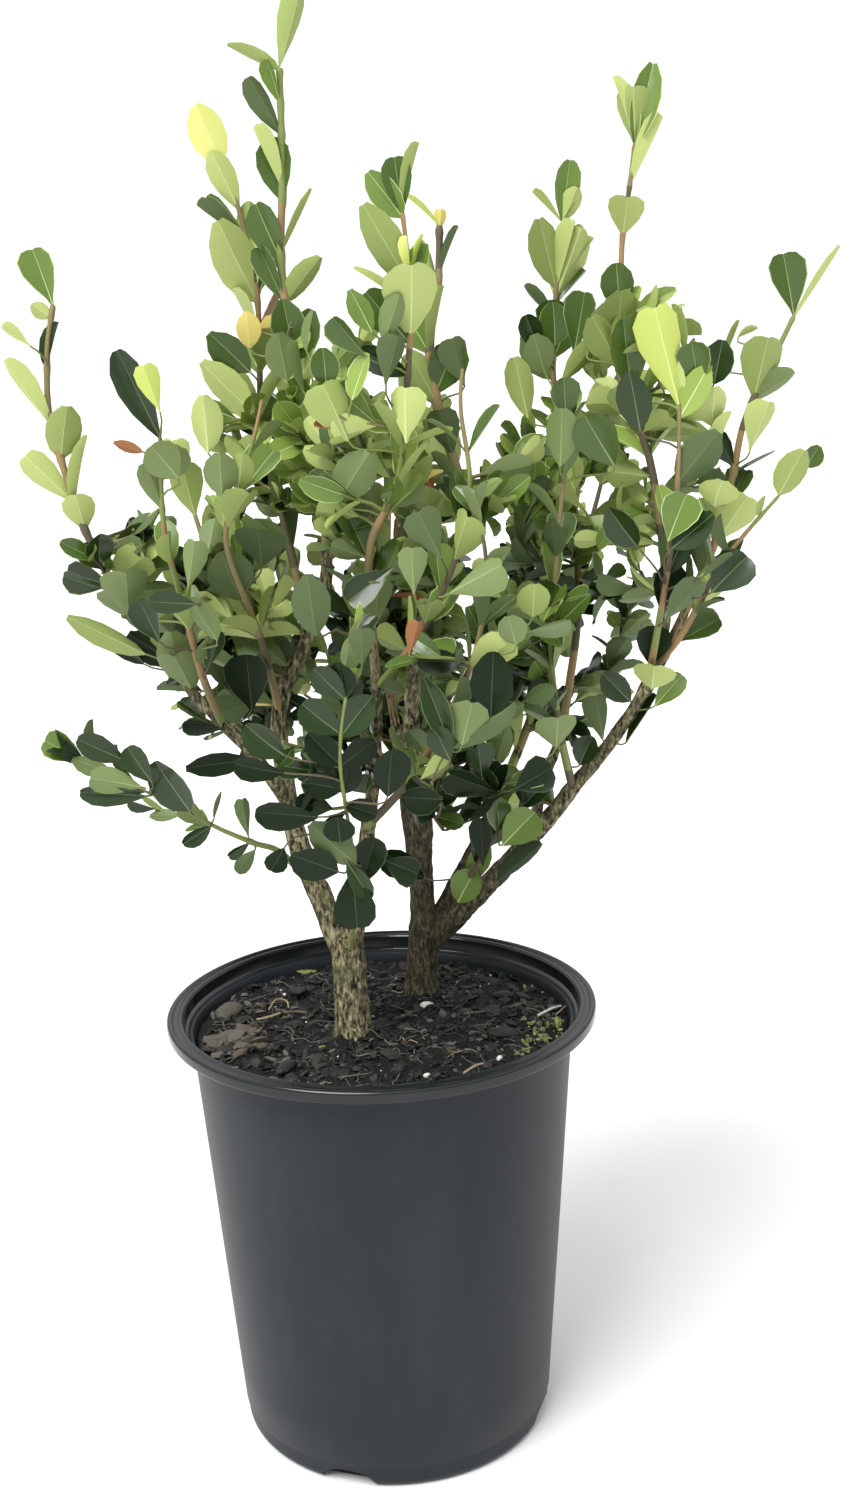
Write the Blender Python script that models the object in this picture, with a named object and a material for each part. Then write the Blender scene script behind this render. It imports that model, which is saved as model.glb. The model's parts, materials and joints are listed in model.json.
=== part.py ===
"""Young multi-stem boxwood shrub in a round nursery pot.

Metres, +Z up. The origin is the centre of the pot's flat underside and -Y is the front. Two short trunks
rise from the potting mix and fork into tapering boughs. Each bough carries one or more masses of foliage,
and the masses together give the crown its outline, with a spire for every long shoot.
"""

from dataclasses import dataclass
from math import cos, pi, radians, sin

import bmesh
import bpy
from mathutils import Matrix, Vector, noise
from mathutils.geometry import interpolate_bezier

MM = 0.001
GAP = 0.35 * MM  # clear space left between neighbouring solids

# Pot: a turned tub, in millimetres.
POT_SIDES = 40
POT_HEIGHT = 170.0
POT_FOOT_RADIUS = 60.0
POT_TOP_RADIUS = 72.6
POT_RIM_RADIUS = 82.5
POT_RIM_DEPTH = 11.5
POT_WALL = 1.4
POT_HEEL_RADIUS = 3.5
POT_LEDGE_DROP = 5.5
DRAIN_HOLES = 4
DRAIN_WIDTH = 22.0
DRAIN_HEIGHT = 6.5
DRAIN_FIRST_ANGLE = 250.0

# Potting mix: a plug inside the tub, slightly heaped towards the middle, in millimetres.
SOIL_EDGE_HEIGHT = 160.0
SOIL_HEAP = 2.4
SOIL_ROUGHNESS = 0.9
SOIL_RINGS = 5

# Limbs and foliage.
LIMB_SIDES = 7
LIMB_STEP = 14.0
TRUNK_FLARE_HEIGHT = 14.0
MASS_SIDES = 10
MASS_RINGS = 11
MASS_SWELL = 0.26
MASS_SWELL_GRAIN = 1.9
MASS_RUFFLE = 0.14
MASS_RUFFLE_GRAIN = 4.6


@dataclass(frozen=True)
class Finish:
    """One plain material: its name, linear colour, roughness and metallic value."""

    name: str
    color: tuple
    roughness: float
    metallic: float = 0.0


POT_FINISH = Finish("pot_polyethylene", (0.066, 0.076, 0.083), 0.42)
SOIL_FINISH = Finish("potting_mix", (0.022, 0.018, 0.014), 0.95)
BARK_FINISH = Finish("boxwood_bark", (0.200, 0.168, 0.095), 0.85)
YOUNG_FINISH = Finish("young_leaves", (0.245, 0.390, 0.085), 0.55)
MATURE_FINISH = Finish("mature_leaves", (0.045, 0.115, 0.035), 0.45)


@dataclass(frozen=True)
class Limb:
    """A tapering limb, in millimetres: its foot, the places it bends through, its tip and two diameters."""

    name: str
    foot: tuple
    bends: tuple
    tip: tuple
    foot_diameter: float
    tip_diameter: float
    flare: float = 0.0


@dataclass(frozen=True)
class Mass:
    """A mass of foliage, in millimetres: an uneven egg or spindle from its foot to its tip."""

    name: str
    foot: tuple
    tip: tuple
    width: float
    taper: float
    finish: Finish


TRUNKS = (
    Limb("trunk_left", (-13, -12, 160), ((-14, -10, 179),), (-13, -8, 197), 14.5, 13.0, flare=4.0),
    Limb("trunk_right", (16, 29, 160), ((17, 30, 175),), (19, 30, 192), 13.5, 12.5, flare=3.5),
)

BOUGHS = (
    Limb("bough_left", (-13, -8, 194), ((-22, -6, 214), (-31, -1, 250)), (-33, 2, 292), 9.5, 6.5),
    Limb("bough_left_inner", (-12, -8, 194), ((-5, -16, 228), (0, -26, 262)), (4, -38, 330), 8.0, 4.5),
    Limb("bough_left_low", (-26, -5, 224), ((-37, -24, 239),), (-58, -48, 257), 5.0, 3.5),
    Limb("bough_far_left", (-31, -1, 252), ((-43, -13, 274), (-56, -14, 288)), (-76, -10, 317), 6.0, 4.0),
    Limb("bough_back_left", (-30, -3, 243), ((-34, 24, 262),), (-44, 52, 286), 5.5, 4.0),
    Limb("bough_front", (-9, -11, 205), ((-9, -32, 228),), (-10, -52, 252), 5.5, 4.0),
    Limb("bough_centre", (18, 30, 188), ((18, 26, 217), (17, 14, 268)), (26, -2, 338), 10.5, 6.0),
    Limb("bough_right", (20, 30, 188), ((45, 20, 210), (76, 4, 251)), (104, -6, 312), 10.0, 5.5),
    Limb("bough_right_inner", (64, 11, 236), ((73, 24, 264),), (81, 38, 306), 5.0, 3.5),
    Limb("bough_far_right", (100, -4, 286), ((112, -2, 308),), (132, 6, 345), 5.0, 3.5),
    Limb("bough_low_right", (38, 23, 203), ((41, 6, 216),), (46, -8, 228), 4.5, 3.5),
    Limb("bough_back", (18, 33, 197), ((14, 52, 228),), (10, 72, 268), 6.5, 4.5),
    Limb("bough_back_right", (25, 32, 195), ((46, 48, 226),), (68, 66, 268), 6.5, 4.5),
)

MASSES = (
    Mass("foliage_low_left", (-44, -38, 244), (-102, -62, 288), 52, 0.05, MATURE_FINISH),
    Mass("foliage_left", (-34, 2, 274), (-60, 4, 366), 76, 0.05, MATURE_FINISH),
    Mass("foliage_far_left_spire", (-68, -12, 300), (-112, 2, 457), 50, 0.20, YOUNG_FINISH),
    Mass("foliage_short_left_spire", (-58, -30, 310), (-70, -44, 420), 56, 0.30, MATURE_FINISH),
    Mass("foliage_left_spire", (-24, 22, 345), (-50, 28, 500), 62, 0.35, YOUNG_FINISH),
    Mass("foliage_tallest_spire", (-12, 0, 330), (-14, 10, 536), 46, 0.35, YOUNG_FINISH),
    Mass("foliage_centre_left_spire", (4, -42, 330), (12, -42, 476), 58, 0.30, YOUNG_FINISH),
    Mass("foliage_centre_spire", (26, -4, 326), (33, 0, 462), 58, 0.40, YOUNG_FINISH),
    Mass("foliage_mid_right_spire", (78, 38, 298), (83, 50, 480), 66, 0.40, YOUNG_FINISH),
    Mass("foliage_tall_right_spire", (103, -4, 340), (105, 4, 510), 50, 0.35, YOUNG_FINISH),
    Mass("foliage_right_spire", (106, -24, 306), (107, -34, 428), 56, 0.25, YOUNG_FINISH),
    Mass("foliage_far_right_spire", (122, 6, 332), (170, 14, 446), 60, 0.20, YOUNG_FINISH),
    Mass("foliage_low_right", (112, -14, 298), (158, -22, 376), 52, 0.15, MATURE_FINISH),
    Mass("foliage_right", (60, -20, 296), (76, -18, 402), 72, 0.20, MATURE_FINISH),
    Mass("foliage_front", (-6, -34, 222), (-12, -82, 330), 80, 0.05, MATURE_FINISH),
    Mass("foliage_front_right", (26, -46, 246), (40, -68, 372), 72, 0.15, MATURE_FINISH),
    Mass("foliage_under_right", (36, 4, 214), (64, -34, 270), 54, 0.05, MATURE_FINISH),
    Mass("foliage_back_left", (-38, 46, 258), (-76, 92, 388), 84, 0.20, MATURE_FINISH),
    Mass("foliage_back", (10, 62, 250), (14, 118, 390), 88, 0.20, MATURE_FINISH),
    Mass("foliage_back_right", (66, 62, 256), (112, 104, 392), 84, 0.20, MATURE_FINISH),
    Mass("foliage_heart", (4, 34, 282), (22, 48, 420), 74, 0.30, MATURE_FINISH),
)


def clear_scene():
    """Remove every object that the scene starts with."""
    for obj in list(bpy.data.objects):
        bpy.data.objects.remove(obj, do_unlink=True)


def material(finish):
    """The Principled material of a finish, made once."""
    found = bpy.data.materials.get(finish.name)
    if found:
        return found
    made = bpy.data.materials.new(finish.name)
    made.use_nodes = True
    shader = made.node_tree.nodes["Principled BSDF"]
    shader.inputs["Base Color"].default_value = (*finish.color, 1.0)
    shader.inputs["Roughness"].default_value = finish.roughness
    shader.inputs["Metallic"].default_value = finish.metallic
    return made


def new_object(name, shape, finish=None, helper=False):
    """An object from a bmesh; a helper only cuts others and isn't part of the model."""
    mesh = bpy.data.meshes.new(name)
    shape.to_mesh(mesh)
    shape.free()
    if finish:
        mesh.materials.append(material(finish))
    obj = bpy.data.objects.new(name, mesh)
    bpy.context.scene.collection.objects.link(obj)
    obj.hide_render = helper
    if helper:
        obj.display_type = "WIRE"
    return obj


def millimetres(point):
    """A point given in millimetres, as a vector in metres."""
    return Vector(point) * MM


def cut(obj, cutter):
    """Take a cutter's space out of an object."""
    modifier = obj.modifiers.new("cut_" + cutter.name, "BOOLEAN")
    modifier.operation = "DIFFERENCE"
    modifier.solver = "EXACT"
    modifier.object = cutter


def boxes_meet(one, other):
    """Whether the boxes of two objects' own meshes come within a gap of each other."""
    low_one, high_one = mesh_box(one)
    low_other, high_other = mesh_box(other)
    return all(
        low_one[axis] - GAP <= high_other[axis] and low_other[axis] - GAP <= high_one[axis]
        for axis in range(3)
    )


def mesh_box(obj):
    """The lowest and highest corners of an object's own mesh."""
    corners = [obj.matrix_world @ Vector(corner) for corner in obj.bound_box]
    low = Vector([min(corner[axis] for corner in corners) for axis in range(3)])
    high = Vector([max(corner[axis] for corner in corners) for axis in range(3)])
    return low, high


# Pot


def arc(centre, radius, start, end, steps):
    """Points on an arc of a profile, as (radius, height) pairs, from one angle in degrees to another."""
    angles = [radians(start + (end - start) * step / steps) for step in range(steps + 1)]
    return [(centre[0] + radius * cos(angle), centre[1] + radius * sin(angle)) for angle in angles]


def wall_radius(height):
    """The outer radius of the tub's straight tapered wall at a height."""
    share = height / (POT_HEIGHT - POT_RIM_DEPTH)
    return POT_FOOT_RADIUS + (POT_TOP_RADIUS - POT_FOOT_RADIUS) * share


def pot_profile():
    """The closed half-section of the tub, from the inside of its floor round the rim to its underside."""
    shoulder = POT_HEIGHT - POT_RIM_DEPTH
    ledge = POT_HEIGHT - POT_LEDGE_DROP
    lip = (POT_RIM_RADIUS - 5.0, POT_HEIGHT - 5.0)
    heel = (wall_radius(0) - POT_HEEL_RADIUS, POT_HEEL_RADIUS)
    inside = [
        (0.0, POT_WALL),
        (wall_radius(0) - 2 * POT_HEEL_RADIUS, POT_WALL),
        (wall_radius(6.0) - POT_WALL, 6.0),
        (wall_radius(ledge - 1.0) - POT_WALL, ledge - 1.0),
        (POT_TOP_RADIUS + 1.0, ledge),
        (POT_TOP_RADIUS + 1.8, POT_HEIGHT - 1.2),
        (POT_TOP_RADIUS + 3.2, POT_HEIGHT),
    ]
    rim = arc(lip, 5.0, 90, -50, 5)
    outside = [
        (POT_TOP_RADIUS + 3.0, shoulder + 1.6),
        (POT_TOP_RADIUS, shoulder),
        (wall_radius(9.0), 9.0),
    ]
    foot = arc(heel, POT_HEEL_RADIUS, 5, -90, 3)
    return inside + rim + outside + foot + [(0.0, 0.0)]


def turned(profile, sides):
    """A closed solid turned round Z from a half-section that starts and ends on the axis."""
    shape = bmesh.new()
    points = [shape.verts.new((radius * MM, 0, height * MM)) for radius, height in profile]
    edges = [shape.edges.new(pair) for pair in zip(points, points[1:])]
    bmesh.ops.spin(
        shape,
        geom=points + edges,
        axis=(0, 0, 1),
        cent=(0, 0, 0),
        angle=2 * pi,
        steps=sides,
        use_merge=True,
    )
    bmesh.ops.remove_doubles(shape, verts=shape.verts, dist=0.01 * MM)
    bmesh.ops.dissolve_degenerate(shape, edges=shape.edges, dist=0.001 * MM)
    bmesh.ops.recalc_face_normals(shape, faces=shape.faces)
    return shape


def drain_cutter(index):
    """An upright slot with a round top that opens the tub's heel at one of its drain holes."""
    shape = bmesh.new()
    bmesh.ops.create_cone(
        shape, cap_ends=True, segments=20, radius1=0.5 * MM, radius2=0.5 * MM, depth=1.0 * MM
    )
    bmesh.ops.scale(shape, verts=shape.verts, vec=(DRAIN_WIDTH, 2 * DRAIN_HEIGHT, 16.0))
    angle = radians(DRAIN_FIRST_ANGLE + 360.0 * index / DRAIN_HOLES)
    lie_down = Matrix.Rotation(radians(90), 4, "X")
    out = Matrix.Translation(((POT_FOOT_RADIUS + 1.5) * MM, 0, 0)) @ Matrix.Rotation(radians(90), 4, "Z")
    bmesh.ops.transform(shape, verts=shape.verts, matrix=Matrix.Rotation(angle, 4, "Z") @ out @ lie_down)
    return new_object(f"drain_cutter_{index + 1}", shape, helper=True)


def make_pot():
    """The turned tub with its rolled rim, inner ledge, rounded heel and drain holes."""
    shape = turned(pot_profile(), POT_SIDES)
    pot = new_object("pot", shape, POT_FINISH)
    pot.data.shade_smooth()
    pot.data.set_sharp_from_angle(angle=radians(35))
    for index in range(DRAIN_HOLES):
        cut(pot, drain_cutter(index))
    return pot


# Potting mix


def soil_height(x, y):
    """The height of the mix's uneven surface, in millimetres."""
    reach = wall_radius(SOIL_EDGE_HEIGHT)
    middle = max(0.0, 1.0 - (x * x + y * y) / (reach * reach))
    ripple = noise.noise(Vector((x, y, 0.0)) / 9.0) * SOIL_ROUGHNESS
    return SOIL_EDGE_HEIGHT + SOIL_HEAP * middle + ripple


def make_soil():
    """The plug of potting mix, a fixed gap inside the tub's wall and floor."""
    gap = GAP / MM
    floor = POT_WALL + gap
    foot = wall_radius(0) - 2 * POT_HEEL_RADIUS - 2 * gap
    edge = wall_radius(SOIL_EDGE_HEIGHT) - POT_WALL - 2 * gap
    low = wall_radius(8.0) - POT_WALL - 2 * gap
    top = [(edge * ring / SOIL_RINGS, SOIL_EDGE_HEIGHT) for ring in range(SOIL_RINGS + 1)]
    shape = turned(top + [(low, 8.0), (foot, floor), (0.0, floor)], POT_SIDES)
    for vert in shape.verts:
        if vert.co.z > (SOIL_EDGE_HEIGHT - 1.0) * MM:
            vert.co.z = soil_height(vert.co.x / MM, vert.co.y / MM) * MM
    return new_object("soil", shape, SOIL_FINISH)


# Limbs


def smooth_path(points, step):
    """Points about a step apart on a smooth curve through the given points."""
    path = [points[0]]
    for index in range(len(points) - 1):
        start, end = points[index], points[index + 1]
        before = points[max(index - 1, 0)]
        after = points[min(index + 2, len(points) - 1)]
        pieces = max(2, round((end - start).length / step))
        leave = start + (end - before) / 6
        arrive = end - (after - start) / 6
        path += interpolate_bezier(start, leave, arrive, end, pieces + 1)[1:]
    return path


def limb_radii(limb, path, extra):
    """The radius at each point of a limb's path: its taper, its root flare and any extra all round."""
    lengths = [0.0]
    for before, after in zip(path, path[1:]):
        lengths.append(lengths[-1] + (after - before).length)
    radii = []
    for length in lengths:
        share = length / lengths[-1]
        diameter = limb.foot_diameter + (limb.tip_diameter - limb.foot_diameter) * share
        root = max(0.0, 1.0 - length / (TRUNK_FLARE_HEIGHT * MM))
        radii.append((diameter + limb.flare * root * root) * MM / 2 + extra)
    return radii


def tube(path, radii, sides):
    """A closed tapering tube along a path, whose first end is cut level if it starts upright."""
    shape = bmesh.new()
    rings = []
    for index, (point, radius) in enumerate(zip(path, radii)):
        ahead = path[min(index + 1, len(path) - 1)] - path[max(index - 1, 0)]
        turn = Vector((0, 0, 1)).rotation_difference(ahead)
        place = Matrix.Translation(point) @ turn.to_matrix().to_4x4()
        ring = bmesh.ops.create_circle(shape, segments=sides, radius=radius, matrix=place)["verts"]
        rings.append(ring)
    for ring, following in zip(rings, rings[1:]):
        edges = {edge for vert in ring + following for edge in vert.link_edges}
        loops = [edge for edge in edges if all(v in ring for v in edge.verts)]
        loops += [edge for edge in edges if all(v in following for v in edge.verts)]
        bmesh.ops.bridge_loops(shape, edges=loops)
    for ring in (rings[0], rings[-1]):
        bmesh.ops.contextual_create(shape, geom=ring)
    bmesh.ops.recalc_face_normals(shape, faces=shape.faces)
    return shape


def limb_path(limb):
    """The smooth path of a limb, in metres."""
    return smooth_path([millimetres(p) for p in (limb.foot, *limb.bends, limb.tip)], LIMB_STEP * MM)


def make_limb(limb):
    """A limb as a tapering solid."""
    path = limb_path(limb)
    shape = tube(path, limb_radii(limb, path, 0.0), LIMB_SIDES)
    level_foot(shape, limb, limb.foot[2] * MM)
    obj = new_object(limb.name, shape, BARK_FINISH)
    obj.data.shade_smooth()
    obj.data.set_sharp_from_angle(angle=radians(60))
    return obj


def level_foot(shape, limb, height):
    """Make a flared trunk's lowest ring level at a height, for its flat cut at the ground."""
    if limb.flare:
        lowest = sorted(shape.verts, key=lambda vert: vert.co.z)[:LIMB_SIDES]
        for vert in lowest:
            vert.co.z = height


def limb_clearance(limb):
    """A limb grown by the gap all round and at both ends, which cuts its neighbours clear of it."""
    path = limb_path(limb)
    radii = limb_radii(limb, path, GAP)
    first = (path[0] - path[1]).normalized() * GAP
    last = (path[-1] - path[-2]).normalized() * GAP
    path = [path[0] + first] + path[1:-1] + [path[-1] + last]
    shape = tube(path, radii, LIMB_SIDES)
    level_foot(shape, limb, limb.foot[2] * MM - GAP)
    return new_object(limb.name + "_clearance", shape, helper=True)


def make_limbs(soil):
    """Trunks and boughs. Each is cut clear of those it grows from, and the trunks sit in the mix."""
    made = []
    for limb in TRUNKS + BOUGHS:
        obj = make_limb(limb)
        for _, clearance in made:
            if boxes_meet(obj, clearance):
                cut(obj, clearance)
        made.append((obj, limb_clearance(limb)))
    for _, clearance in made[: len(TRUNKS)]:
        cut(soil, clearance)
    return [clearance for _, clearance in made]


# Foliage


def axis_of(mass):
    """The foot and tip of a mass, in metres."""
    return millimetres(mass.foot), millimetres(mass.tip)


def mass_shape(mass, seed):
    """An uneven egg along the mass's axis, narrower towards its tip if it tapers."""
    shape = bmesh.new()
    bmesh.ops.create_uvsphere(shape, u_segments=MASS_SIDES, v_segments=MASS_RINGS, radius=1.0)
    foot, tip = axis_of(mass)
    along = tip - foot
    turn = Vector((0, 0, 1)).rotation_difference(along).to_matrix()
    place = Vector((seed, 2 * seed, 0))
    for vert in shape.verts:
        direction = vert.co.copy()
        share = 0.5 + 0.5 * direction.z
        swell = MASS_SWELL * noise.noise(direction * MASS_SWELL_GRAIN + place)
        ruffle = MASS_RUFFLE * noise.noise(direction * MASS_RUFFLE_GRAIN - place)
        radius = mass.width * MM / 2 * (1.0 + swell + ruffle) * (1.0 - mass.taper * share)
        sideways = turn @ Vector((direction.x * radius, direction.y * radius, 0))
        vert.co = foot + along * share + sideways
    bmesh.ops.recalc_face_normals(shape, faces=shape.faces)
    return shape


def nearest_on_axes(one, other):
    """The closest points of two masses' axes, found by stepping along both."""
    steps = 24
    points_one = [one[0].lerp(one[1], step / steps) for step in range(steps + 1)]
    points_other = [other[0].lerp(other[1], step / steps) for step in range(steps + 1)]
    pairs = [(a, b) for a in points_one for b in points_other]
    return min(pairs, key=lambda pair: (pair[0] - pair[1]).length)


def keep_side(shape, point, outward):
    """Cut a shape by a plane, keep what is behind it and close the cut."""
    geometry = shape.verts[:] + shape.edges[:] + shape.faces[:]
    found = bmesh.ops.bisect_plane(
        shape, geom=geometry, dist=1e-7, plane_co=point, plane_no=outward, clear_outer=True
    )
    rim = [piece for piece in found["geom_cut"] if isinstance(piece, bmesh.types.BMEdge)]
    if rim:
        bmesh.ops.holes_fill(shape, edges=rim, sides=0)
        bmesh.ops.recalc_face_normals(shape, faces=shape.faces)


def part_masses(shapes):
    """Cut each pair of neighbouring masses apart along a plane between their axes."""
    for first in range(len(MASSES)):
        for second in range(first + 1, len(MASSES)):
            one, other = MASSES[first], MASSES[second]
            near_one, near_other = nearest_on_axes(axis_of(one), axis_of(other))
            between = near_other - near_one
            reach = (one.width + other.width) * MM / 2 * (1 + MASS_SWELL + MASS_RUFFLE)
            if between.length > reach:
                continue
            share = one.width / (one.width + other.width)
            middle = near_one + between * share
            outward = between.normalized()
            keep_side(shapes[first], middle - outward * GAP / 2, outward)
            keep_side(shapes[second], middle + outward * GAP / 2, -outward)


def make_masses(clearances):
    """The masses of foliage, parted from each other and cut clear of the limbs that enter them."""
    shapes = [mass_shape(mass, index + 1.0) for index, mass in enumerate(MASSES)]
    part_masses(shapes)
    for mass, shape in zip(MASSES, shapes):
        obj = new_object(mass.name, shape, mass.finish)
        obj.data.shade_smooth()
        for clearance in clearances:
            if boxes_meet(obj, clearance):
                cut(obj, clearance)


def main():
    """Build the pot, the mix, the limbs and the foliage."""
    clear_scene()
    make_pot()
    soil = make_soil()
    clearances = make_limbs(soil)
    make_masses(clearances)


main()
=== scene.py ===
"""Looks of a young boxwood shrub growing in a round nursery pot.

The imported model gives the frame: the pot, the potting mix, the trunks and boughs, and the masses of
foliage. Here the pot and the mix get their finished shapes, one mesh with the bark's relief takes the place
of the trunks and boughs, and every mass of foliage is replaced by twigs and leaves that grow on from the
limbs by a seeded branching rule. Metres, +Z up, -Y to the front. Sizes are named in millimetres.
"""

import json
import logging
from dataclasses import dataclass, field
from enum import Enum
from math import cos, pi, radians, sin
from random import Random
from typing import Iterable, Optional, Sequence

import bmesh
import bpy
import numpy as np
from mathutils import Matrix, Vector, noise
from mathutils.bvhtree import BVHTree
from mathutils.geometry import interpolate_bezier


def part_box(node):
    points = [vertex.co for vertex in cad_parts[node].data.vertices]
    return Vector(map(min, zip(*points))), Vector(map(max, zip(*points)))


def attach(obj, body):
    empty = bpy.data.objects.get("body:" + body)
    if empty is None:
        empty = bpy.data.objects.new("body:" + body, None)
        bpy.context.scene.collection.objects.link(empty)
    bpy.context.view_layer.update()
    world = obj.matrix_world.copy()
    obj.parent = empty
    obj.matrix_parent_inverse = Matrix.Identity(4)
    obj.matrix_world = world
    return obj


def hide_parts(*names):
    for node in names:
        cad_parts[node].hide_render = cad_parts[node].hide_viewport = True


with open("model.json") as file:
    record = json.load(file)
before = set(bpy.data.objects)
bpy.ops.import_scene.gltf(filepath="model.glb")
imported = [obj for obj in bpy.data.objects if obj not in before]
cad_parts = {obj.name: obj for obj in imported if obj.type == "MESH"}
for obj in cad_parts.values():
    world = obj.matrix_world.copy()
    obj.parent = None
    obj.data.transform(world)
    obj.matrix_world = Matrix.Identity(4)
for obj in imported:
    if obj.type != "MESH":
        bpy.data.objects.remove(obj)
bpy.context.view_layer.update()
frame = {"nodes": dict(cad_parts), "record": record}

Material = bpy.types.Material
MM = 0.001
UP = Vector((0.0, 0.0, 1.0))
BODY = "root"

log = logging.getLogger("boxwood")


# ---- Small tools ----


def linear(hex_colour: str) -> tuple[float, float, float, float]:
    """Turn an sRGB hex colour, such as "#4a4f52", into the linear RGBA that a shader reads."""
    channels = [int(hex_colour[start : start + 2], 16) / 255 for start in (1, 3, 5)]
    red, green, blue = [
        channel / 12.92 if channel <= 0.04045 else ((channel + 0.055) / 1.055) ** 2.4
        for channel in channels
    ]
    return red, green, blue, 1.0


def wire(node: bpy.types.Node, links: dict) -> None:
    """Feed some input sockets of a node, by name, each from an output socket."""
    for name, output in links.items():
        node.id_data.links.new(output, node.inputs[name])


def add_node(
    material: Material, kind: str, settings: Optional[dict] = None, links: Optional[dict] = None
) -> bpy.types.Node:
    """Add one shader node.

    Args:
        material: the material whose tree takes the node.
        kind: the node's type name.
        settings: properties, or values of input sockets, by name.
        links: input sockets by name, each with the output socket that feeds it.

    Returns:
        The new node.
    """
    node = material.node_tree.nodes.new(kind)
    for name, value in (settings or {}).items():
        if isinstance(name, str) and hasattr(node, name):
            setattr(node, name, value)
        else:
            node.inputs[name].default_value = value
    wire(node, links or {})
    return node


def new_material(name: str, settings: dict) -> tuple[Material, bpy.types.Node]:
    """Make a material with one Principled shader, and set some of the shader's own sockets."""
    material = bpy.data.materials.new(name)
    material.use_nodes = True
    shader = material.node_tree.nodes["Principled BSDF"]
    for socket, value in settings.items():
        shader.inputs[socket].default_value = value
    return material, shader


def object_coordinates(
    material: Material, stretch: Sequence[float] = (1, 1, 1)
) -> bpy.types.NodeSocket:
    """Object coordinates in metres, stretched along each axis by a Mapping node."""
    where = add_node(material, "ShaderNodeTexCoord")
    mapping = add_node(
        material, "ShaderNodeMapping", {"Scale": stretch}, {"Vector": where.outputs["Object"]}
    )
    return mapping.outputs["Vector"]


def set_stops(ramp: bpy.types.Node, stops: Sequence[tuple[float, Sequence[float]]]) -> None:
    """Set the stops of a ramp, each a position and a linear colour, in rising order."""
    elements = ramp.color_ramp.elements
    for position, colour in stops[1:-1]:
        elements.new(position).color = colour
    for element, (position, colour) in ((elements[0], stops[0]), (elements[-1], stops[-1])):
        element.position = position
        element.color = colour


def add_relief(
    material: Material,
    grain_mm: float,
    detail: float,
    strength: float,
    depth_mm: float,
    where: Optional[bpy.types.NodeSocket] = None,
) -> None:
    """Raise a fine noise grain on a material's shader.

    Args:
        material: the material, with one Principled shader.
        grain_mm: the size of a grain.
        detail: how many finer layers the noise has.
        strength: how strongly the grain shows.
        depth_mm: how deep it is.
        where: its coordinates, or None for plain object coordinates.
    """
    grain = add_node(
        material, "ShaderNodeTexNoise", {"Scale": 1 / (grain_mm * MM), "Detail": detail},
        {"Vector": where or object_coordinates(material)},
    )
    bump = add_node(
        material, "ShaderNodeBump", {"Strength": strength, "Distance": depth_mm * MM},
        {"Height": grain.outputs["Fac"]},
    )
    wire(material.node_tree.nodes["Principled BSDF"], {"Normal": bump.outputs["Normal"]})


def smooth_path(points: Sequence[Vector], step: float) -> list[Vector]:
    """Points about a step apart on a smooth curve that goes through all those given, in metres."""
    path = [points[0]]
    for index in range(len(points) - 1):
        start, end = points[index], points[index + 1]
        before = points[max(index - 1, 0)]
        after = points[min(index + 2, len(points) - 1)]
        pieces = max(2, round((end - start).length / step))
        leave = start + (end - before) / 6
        arrive = end - (after - start) / 6
        path += interpolate_bezier(start, leave, arrive, end, pieces + 1)[1:]
    return path


def shares_along(path: Sequence[Vector]) -> list[float]:
    """How far along a path each of its points lies, from 0 to 1."""
    lengths = [0.0]
    for before, after in zip(path, path[1:]):
        lengths.append(lengths[-1] + (after - before).length)
    return [length / lengths[-1] for length in lengths]


def path_length(path: Sequence[Vector]) -> float:
    """The length of a path in metres."""
    return sum((after - before).length for before, after in zip(path, path[1:]))


def point_at(path: Sequence[Vector], share: float) -> tuple[Vector, Vector]:
    """The point at a share of a path's length, and the direction there."""
    shares = shares_along(path)
    for index in range(1, len(path)):
        if share <= shares[index] or index == len(path) - 1:
            span = shares[index] - shares[index - 1]
            part = min(1.0, (share - shares[index - 1]) / max(span, 1e-9))
            ahead = (path[index] - path[index - 1]).normalized()
            return path[index - 1].lerp(path[index], part), ahead
    return path[-1], (path[-1] - path[-2]).normalized()


def across(direction: Vector, angle: float) -> Vector:
    """A unit vector square to a direction, turned about it by an angle in radians."""
    level = direction.cross(Vector((0.0, 1.0, 0.02))).normalized()
    return Matrix.Rotation(angle, 3, direction) @ level


# ---- Meshes made once and joined many times ----


@dataclass
class Template:
    """A small mesh as arrays: its points, and each face's corners, size and part number."""

    points: np.ndarray
    corners: np.ndarray
    sizes: np.ndarray
    parts: np.ndarray

    @classmethod
    def from_bmesh(cls, shape: bmesh.types.BMesh) -> "Template":
        """Read a bmesh, with each face's material index as its part number, and free it."""
        shape.verts.index_update()
        points = np.array([vert.co[:] for vert in shape.verts])
        corners = np.array([vert.index for face in shape.faces for vert in face.verts])
        sizes = np.array([len(face.verts) for face in shape.faces])
        parts = np.array([face.material_index for face in shape.faces])
        shape.free()
        return cls(points, corners, sizes, parts)


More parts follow.
